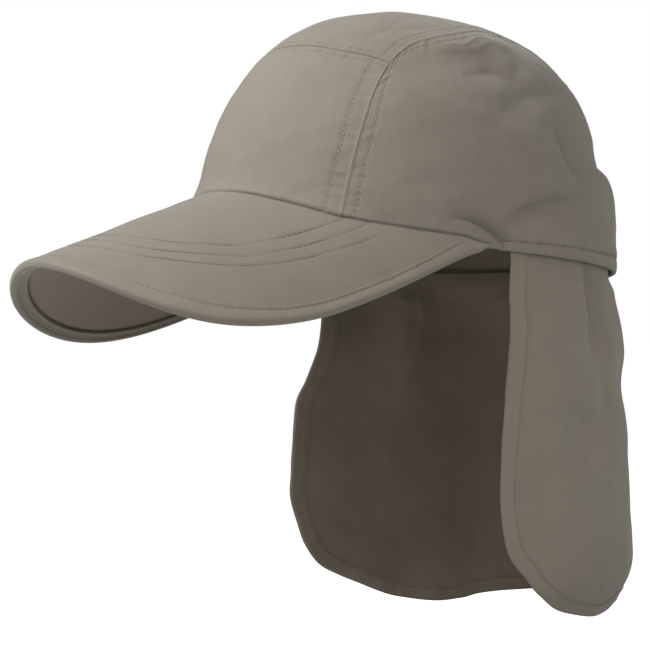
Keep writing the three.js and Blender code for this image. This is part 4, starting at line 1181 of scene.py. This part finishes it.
def bill_pieces():
    share = np.linspace(0, 1, GRID["bill"] + 1)
    turn, root, outer, room, width, thick = bill_sections(share)
    inward = unit(root - outer)
    plump = thick / CLOTH["bill"] * (BILL["edge_thickness"] - CLOTH["bill"]) / 2
    roll = 0.32 * width
    # Section of the cover, as (distance in from the edge, depth): top, raised edge, roll,
    # stitched band and the return inside.
    flat = np.zeros_like(room)
    seam = np.minimum(ROOT_LINES["reach"], 0.3 * (room - width))
    section = [(room - seam * t, flat) for t in np.linspace(0, 1, ROOT_LINES["count"] + 1)[:-1]]
    section += [(lerp(room - seam, width, t), flat)
                for t in np.linspace(0, 1, GRID["bill_lines"] + 1)[:-1]]
    for t in np.linspace(0, 1, 16)[:-1]:
        section.append((lerp(width, roll, t), -plump * math.sin(math.pi / 2 * t) ** 1.3))
    for angle in np.linspace(math.pi / 2, -math.pi / 2, 25):
        section.append((roll * (1 - power(math.cos(angle), 0.9)),
                        thick / 2 - (thick / 2 + plump) * power(math.sin(angle), 0.9)))
    upper_count = ROOT_LINES["count"] + GRID["bill_lines"] + 15 + 8
    under = thick + plump
    for part, drop in BILL_FOLD:
        section.append((part * width, under + drop * thick / CLOTH["bill"]))
    for t in np.linspace(0, 1, ROOT_LINES["inside"] + len(section) % 2):
        section.append((lerp(1.02 * width, room, t), 0.45 * thick))
    distance = np.stack([part[0] for part in section], -1)
    depth = np.stack([part[1] for part in section], -1)
    place = outer[:, None] + inward[:, None] * distance[..., None]
    upper = np.arange(distance.shape[1])[None] < upper_count
    from_root = room[:, None] - distance
    line = bell(distance, width[:, None], 0.5) * upper * (thick[:, None] > 1.3)
    rows = np.zeros_like(distance)
    for row in BILL_ROWS:
        path = catmull_rom(bill_row_path(row), 6)
        apart = path_distance(place, path)
        rows = np.maximum(rows, bell(apart, 0, 0.7) * upper)
    foot = bell(from_root, 0, 0.9) * upper
    soft = 0.12 * ripple(place, 30, 41) + 0.05 * ripple(place, 12, 42)
    soft = soft * upper * np.clip(distance / 12, 0, 1)
    brow = 0.12 * bell(distance, width[:, None] + 1.2, 0.8) * upper
    lift = soft + brow - 0.2 * line - 0.2 * rows - 0.3 * foot
    rings = bill_skin(place, depth - lift)
    # Painted shade: along the root line (weaker at the middle), in the rows' and edge row's grooves
    # (the rows' weaker at the lit middle front) and, below, along the turned band's inner edge.
    edge_shade = np.clip((np.abs(np.degrees(turn)) - 8) / 12, 0.3, 1)[:, None]
    lit_middle_fade = lerp(0.4, 1.0, smoothstep(np.abs(place[..., 0]), 15, 50))
    shade_mask = np.clip(0.2 * rows * lit_middle_fade + 0.25 * line + 0.95 * foot * edge_shade, 0, 0.95)
    groove = bell(distance, width[:, None], 0.45) * (~upper)
    shade_mask = np.maximum(shade_mask, 0.5 * groove)
    cover = ring_piece("bill_cover", rings, [BILL_CLOTH], place, shade_mask)
    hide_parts("bill", "bill_edge")
    under_panel(turn, outer, inward, room, width, thick)
    threads = []
    sewn = np.abs(np.degrees(turn)) < 84
    edge_line = (outer + inward * width[:, None])[sewn]
    threads.append(stitch_row(bill_skin(edge_line, 0.06), bill_normal(edge_line)))
    ridge_line = (outer + inward * (0.84 * width)[:, None])[sewn]
    beneath = (under + 0.3 * thick / CLOTH["bill"])[sewn]
    threads.append(stitch_row(bill_skin(ridge_line, beneath), -bill_normal(ridge_line)))
    for row in BILL_ROWS:
        path = catmull_rom(bill_row_path(row), 40)
        nearest = np.interp(path[:, 1], ROOT_FORWARD, ROOT_ACROSS)
        path = path[(np.abs(path[:, 0]) > nearest + 1.0) | (path[:, 1] > ROOT_FORWARD[-1] + 2)]
        threads.append(stitch_row(bill_skin(path, 0.1), bill_normal(path)))
    for name, rows, look, kind in (("bill_edge_stitching", threads[:2], THREAD, "bill_edge"),
                                   ("bill_stitching", threads[2:], BILL_THREAD, "bill")):
        thread_piece(name, rows, look, THREAD_RADIUS[kind])


def under_panel(turn, outer, inward, room, width, thick):
    """Recessed lower face of the bill, from the root to the turned band."""
    v = np.linspace(0, 1, GRID["under_lines"] + 1)
    grids = []
    for level, face in ((0.62, 0.0), (1.0, 1.0)):
        deep = level * thick
        root = bill_root(turn, deep)
        rim = outer + inward * (width * 1.01)[:, None]
        place = root[:, None] * (1 - v)[None, :, None] + rim[:, None] * v[None, :, None]
        gap = length_of(rim[:, None] - place)[..., 0]
        sink = 0.5 * bell(gap, 0, 1.6) * face
        bow = 0.15 * ripple(place, 34, 45) * face * np.clip(gap / 8, 0, 1)
        depth = deep[:, None] - sink * (thick / CLOTH["bill"])[:, None] + bow
        grids.append(bill_skin(place, depth))
    # Painted shade along the recess at the turned band.
    shade_mask = 0.6 * bell(gap, 0, 0.9)
    cloth = [UNDER_CLOTH, UNDER_CLOTH]
    piece = wall_piece("bill_underside", grids[1], grids[0], cloth, place, shade_mask)
    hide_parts("bill")


def flap_pieces():
    edge = flap_edge_points()
    points = inset_edge(edge, band_width(edge) - FLAP["overlap"])
    corner = int(np.argmax(FLAP_EDGE["corner"]))
    left = even_curve(points[:corner + 1])
    bottom = even_curve(points[corner:len(points) - corner])
    right = even_curve(points[len(points) - corner - 1:][::-1])
    u = np.linspace(0, 1, GRID["flap"] + 1)
    v = np.linspace(0, 1, GRID["flap_rows"] + 1)
    top = lerp(points[0], points[-1], u[:, None])
    patch = four_edge_patch(u, v, bottom(u), top, left(1 - v), right(1 - v))
    cloth = wall_piece("neck_flap_cloth", flap_point(patch), flap_point(patch, CLOTH["flap"]),
                       [FLAP_CLOTH, LINING], patch, flap_painted_shade(patch))
    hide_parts("neck_flap")
    hem, threads = flap_hem()


def flap_painted_shade(patch):
    """Painted shade under the hem and beside the deep creases."""
    around, z = patch[..., 0], patch[..., 1]
    shade_mask = 0.35 * bell(z, FLAP["top"], 4)
    on_cloth = np.stack([QUARTER - np.abs(around), z], axis=-1)
    return crease_shade(shade_mask, on_cloth, around >= 0, FLAP_CREASES)


def flap_hem():
    """Folded hem: a closed section along the free edge, with a stitched ridge at its inner side."""
    count = GRID["flap_hem"]
    share = np.linspace(0, 1, count + 1)
    outline = flap_edge_points()
    edge = catmull_at(outline, share)
    inner = catmull_at(inset_edge(outline, band_width(outline)), share)
    run = lengths_along(edge)
    back = [(w, -1.5 - (h - 0.2) * 0.8) for w, h in FLAP_HEM_FACE[::-1]]
    section, half = np.array(FLAP_HEM_FACE + back), len(FLAP_HEM_FACE)
    place = edge[:, None] + (inner - edge)[:, None] * section[None, :, 0, None]
    hang = hanging(place[..., 1])
    waves = pucker(run, 51)[:, None] * bell(section[:, 0], 0.8, 0.35)[None]
    lift = section[None, :, 1] * lerp(0.6, 1.0, hang) + 0.1 * waves
    rings = flap_point(place, -lift)
    # Painted shade along the stitch line and in the crease at the band's inner edge.
    stitched = bell(section[:, 0], 0.89, 0.03)
    shadow = bell(section[:, 0], 1.01, 0.02)
    shade_mask = np.broadcast_to(0.3 * stitched + 0.55 * shadow, lift.shape)
    faces_in = (np.arange(len(section)) >= half).astype(float)
    hem = ring_piece("neck_flap_hem_band", rings, [FLAP_CLOTH, LINING], place, shade_mask, faces_in)
    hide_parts("neck_flap_hem")
    below = edge[:, 1] < -7
    rows = []
    outside, inside = int(np.argmax(stitched[:half])), half + int(np.argmax(stitched[half:]))
    for column, way in ((outside, 1), (inside, -1)):
        rows.append(stitch_row(rings[below, column], way * flap_normal(place[below, column])))
    threads = thread_piece("flap_stitching", rows, FLAP_THREAD, THREAD_RADIUS["flap"])
    return hem, threads


# ---------------------------------------------------------------- stage, camera and lights

PHOTO = dict(size=650.0, centre=325.0, focal=2584.0, azimuth=59.0, elevation=-5.94,
             distance=1200.0, aim=(0.0, 0.0, 36.5), aim_x=393.4, aim_y=179.4)
FLOOR_Z = -185.0
AMBIENT = 0.25
FLOOR_GLOW = dict(seen=0.9, cast=0.04)


def direction(azimuth, elevation):
    """Direction at an azimuth (0 in front, 90 at the wearer's left) and an elevation."""
    a, e = math.radians(azimuth), math.radians(elevation)
    return Vector((math.sin(a) * math.cos(e), -math.cos(a) * math.cos(e), math.sin(e)))


def placed(name, data):
    thing = bpy.data.objects.new(name, data)
    bpy.context.scene.collection.objects.link(thing)
    return thing


def seen_or_cast(tree, cast, seen, target):
    """Strength of a glow: one value for what the camera sees, another for the light it casts."""
    path, level = tree.nodes.new("ShaderNodeLightPath"), tree.nodes.new("ShaderNodeMapRange")
    level.inputs["To Min"].default_value = cast
    level.inputs["To Max"].default_value = seen
    tree.links.new(path.outputs["Is Camera Ray"], level.inputs["Value"])
    tree.links.new(level.outputs["Result"], target)


def camera():
    """Camera at the photograph's angle: the aimed point falls on its own pixel."""
    azimuth = math.radians(PHOTO["azimuth"])
    back = direction(PHOTO["azimuth"], PHOTO["elevation"])
    side = Vector((math.cos(azimuth), math.sin(azimuth), 0))
    above = back.cross(side)
    pan = math.atan((PHOTO["aim_x"] - PHOTO["centre"]) / PHOTO["focal"])
    nod = math.atan((PHOTO["centre"] - PHOTO["aim_y"]) / PHOTO["focal"] * math.cos(pan))
    ahead = -back * math.cos(pan) - side * math.sin(pan)
    right = side * math.cos(pan) - back * math.sin(pan)
    up = above * math.cos(nod) + ahead * math.sin(nod)
    ahead = ahead * math.cos(nod) - above * math.sin(nod)
    eye = (Vector(PHOTO["aim"]) + back * PHOTO["distance"]) * MM
    data = bpy.data.cameras.new("photo_camera")
    data.sensor_width = 36
    data.lens = PHOTO["focal"] / PHOTO["size"] * 36
    data.clip_start, data.clip_end = 0.05, 60
    view = placed("photo_camera", data)
    rotation = Matrix((right, up, -ahead)).transposed().to_4x4()
    view.matrix_world = Matrix.Translation(eye) @ rotation
    bpy.context.scene.camera = view


def floor():
    """Plain pale floor, wide enough to meet the pale surroundings."""
    mesh = bpy.data.meshes.new("floor")
    half = 12.0
    z = FLOOR_Z * MM
    corners = [(-half, -half, z), (half, -half, z), (half, half, z), (-half, half, z)]
    mesh.from_pydata(corners, [], [(0, 1, 2, 3)])
    material = bpy.data.materials.new("floor_look")
    material.use_nodes = True
    shader = material.node_tree.nodes["Principled BSDF"]
    shader.inputs["Base Color"].default_value = (0.52, 0.52, 0.52, 1)
    shader.inputs["Roughness"].default_value = 0.9
    shader.inputs["Emission Color"].default_value = (1, 1, 1, 1)
    seen_or_cast(material.node_tree, FLOOR_GLOW["cast"], FLOOR_GLOW["seen"],
                 shader.inputs["Emission Strength"])
    mesh.materials.append(material)
    ground = placed("floor", mesh)


def area_light(name, azimuth, elevation, distance, size, watts):
    """Soft round light that faces the origin."""
    place = direction(azimuth, elevation) * distance
    data = bpy.data.lights.new(name, "AREA")
    data.shape = "DISK"
    data.size, data.energy = size, watts
    light = placed(name, data)
    light.location = place
    light.rotation_euler = (-place).to_track_quat("-Z", "Y").to_euler()


def surroundings():
    world = bpy.data.worlds.new("pale_studio")
    world.use_nodes = True
    background = world.node_tree.nodes["Background"]
    background.inputs["Color"].default_value = (1.0, 1.0, 1.0, 1)
    seen_or_cast(world.node_tree, AMBIENT, 1.0, background.inputs["Strength"])
    bpy.context.scene.world = world
    bpy.context.scene.view_settings.view_transform = "Standard"
    area_light("key", -12, 42, 1.6, 0.8, 28)
    area_light("top", 150, 70, 1.8, 1.2, 3)
    area_light("side", 88, 15, 2.0, 1.6, 12)


rear_hem_piece(crown_pieces())
bill_pieces()
flap_pieces()
camera()
floor()
surroundings()
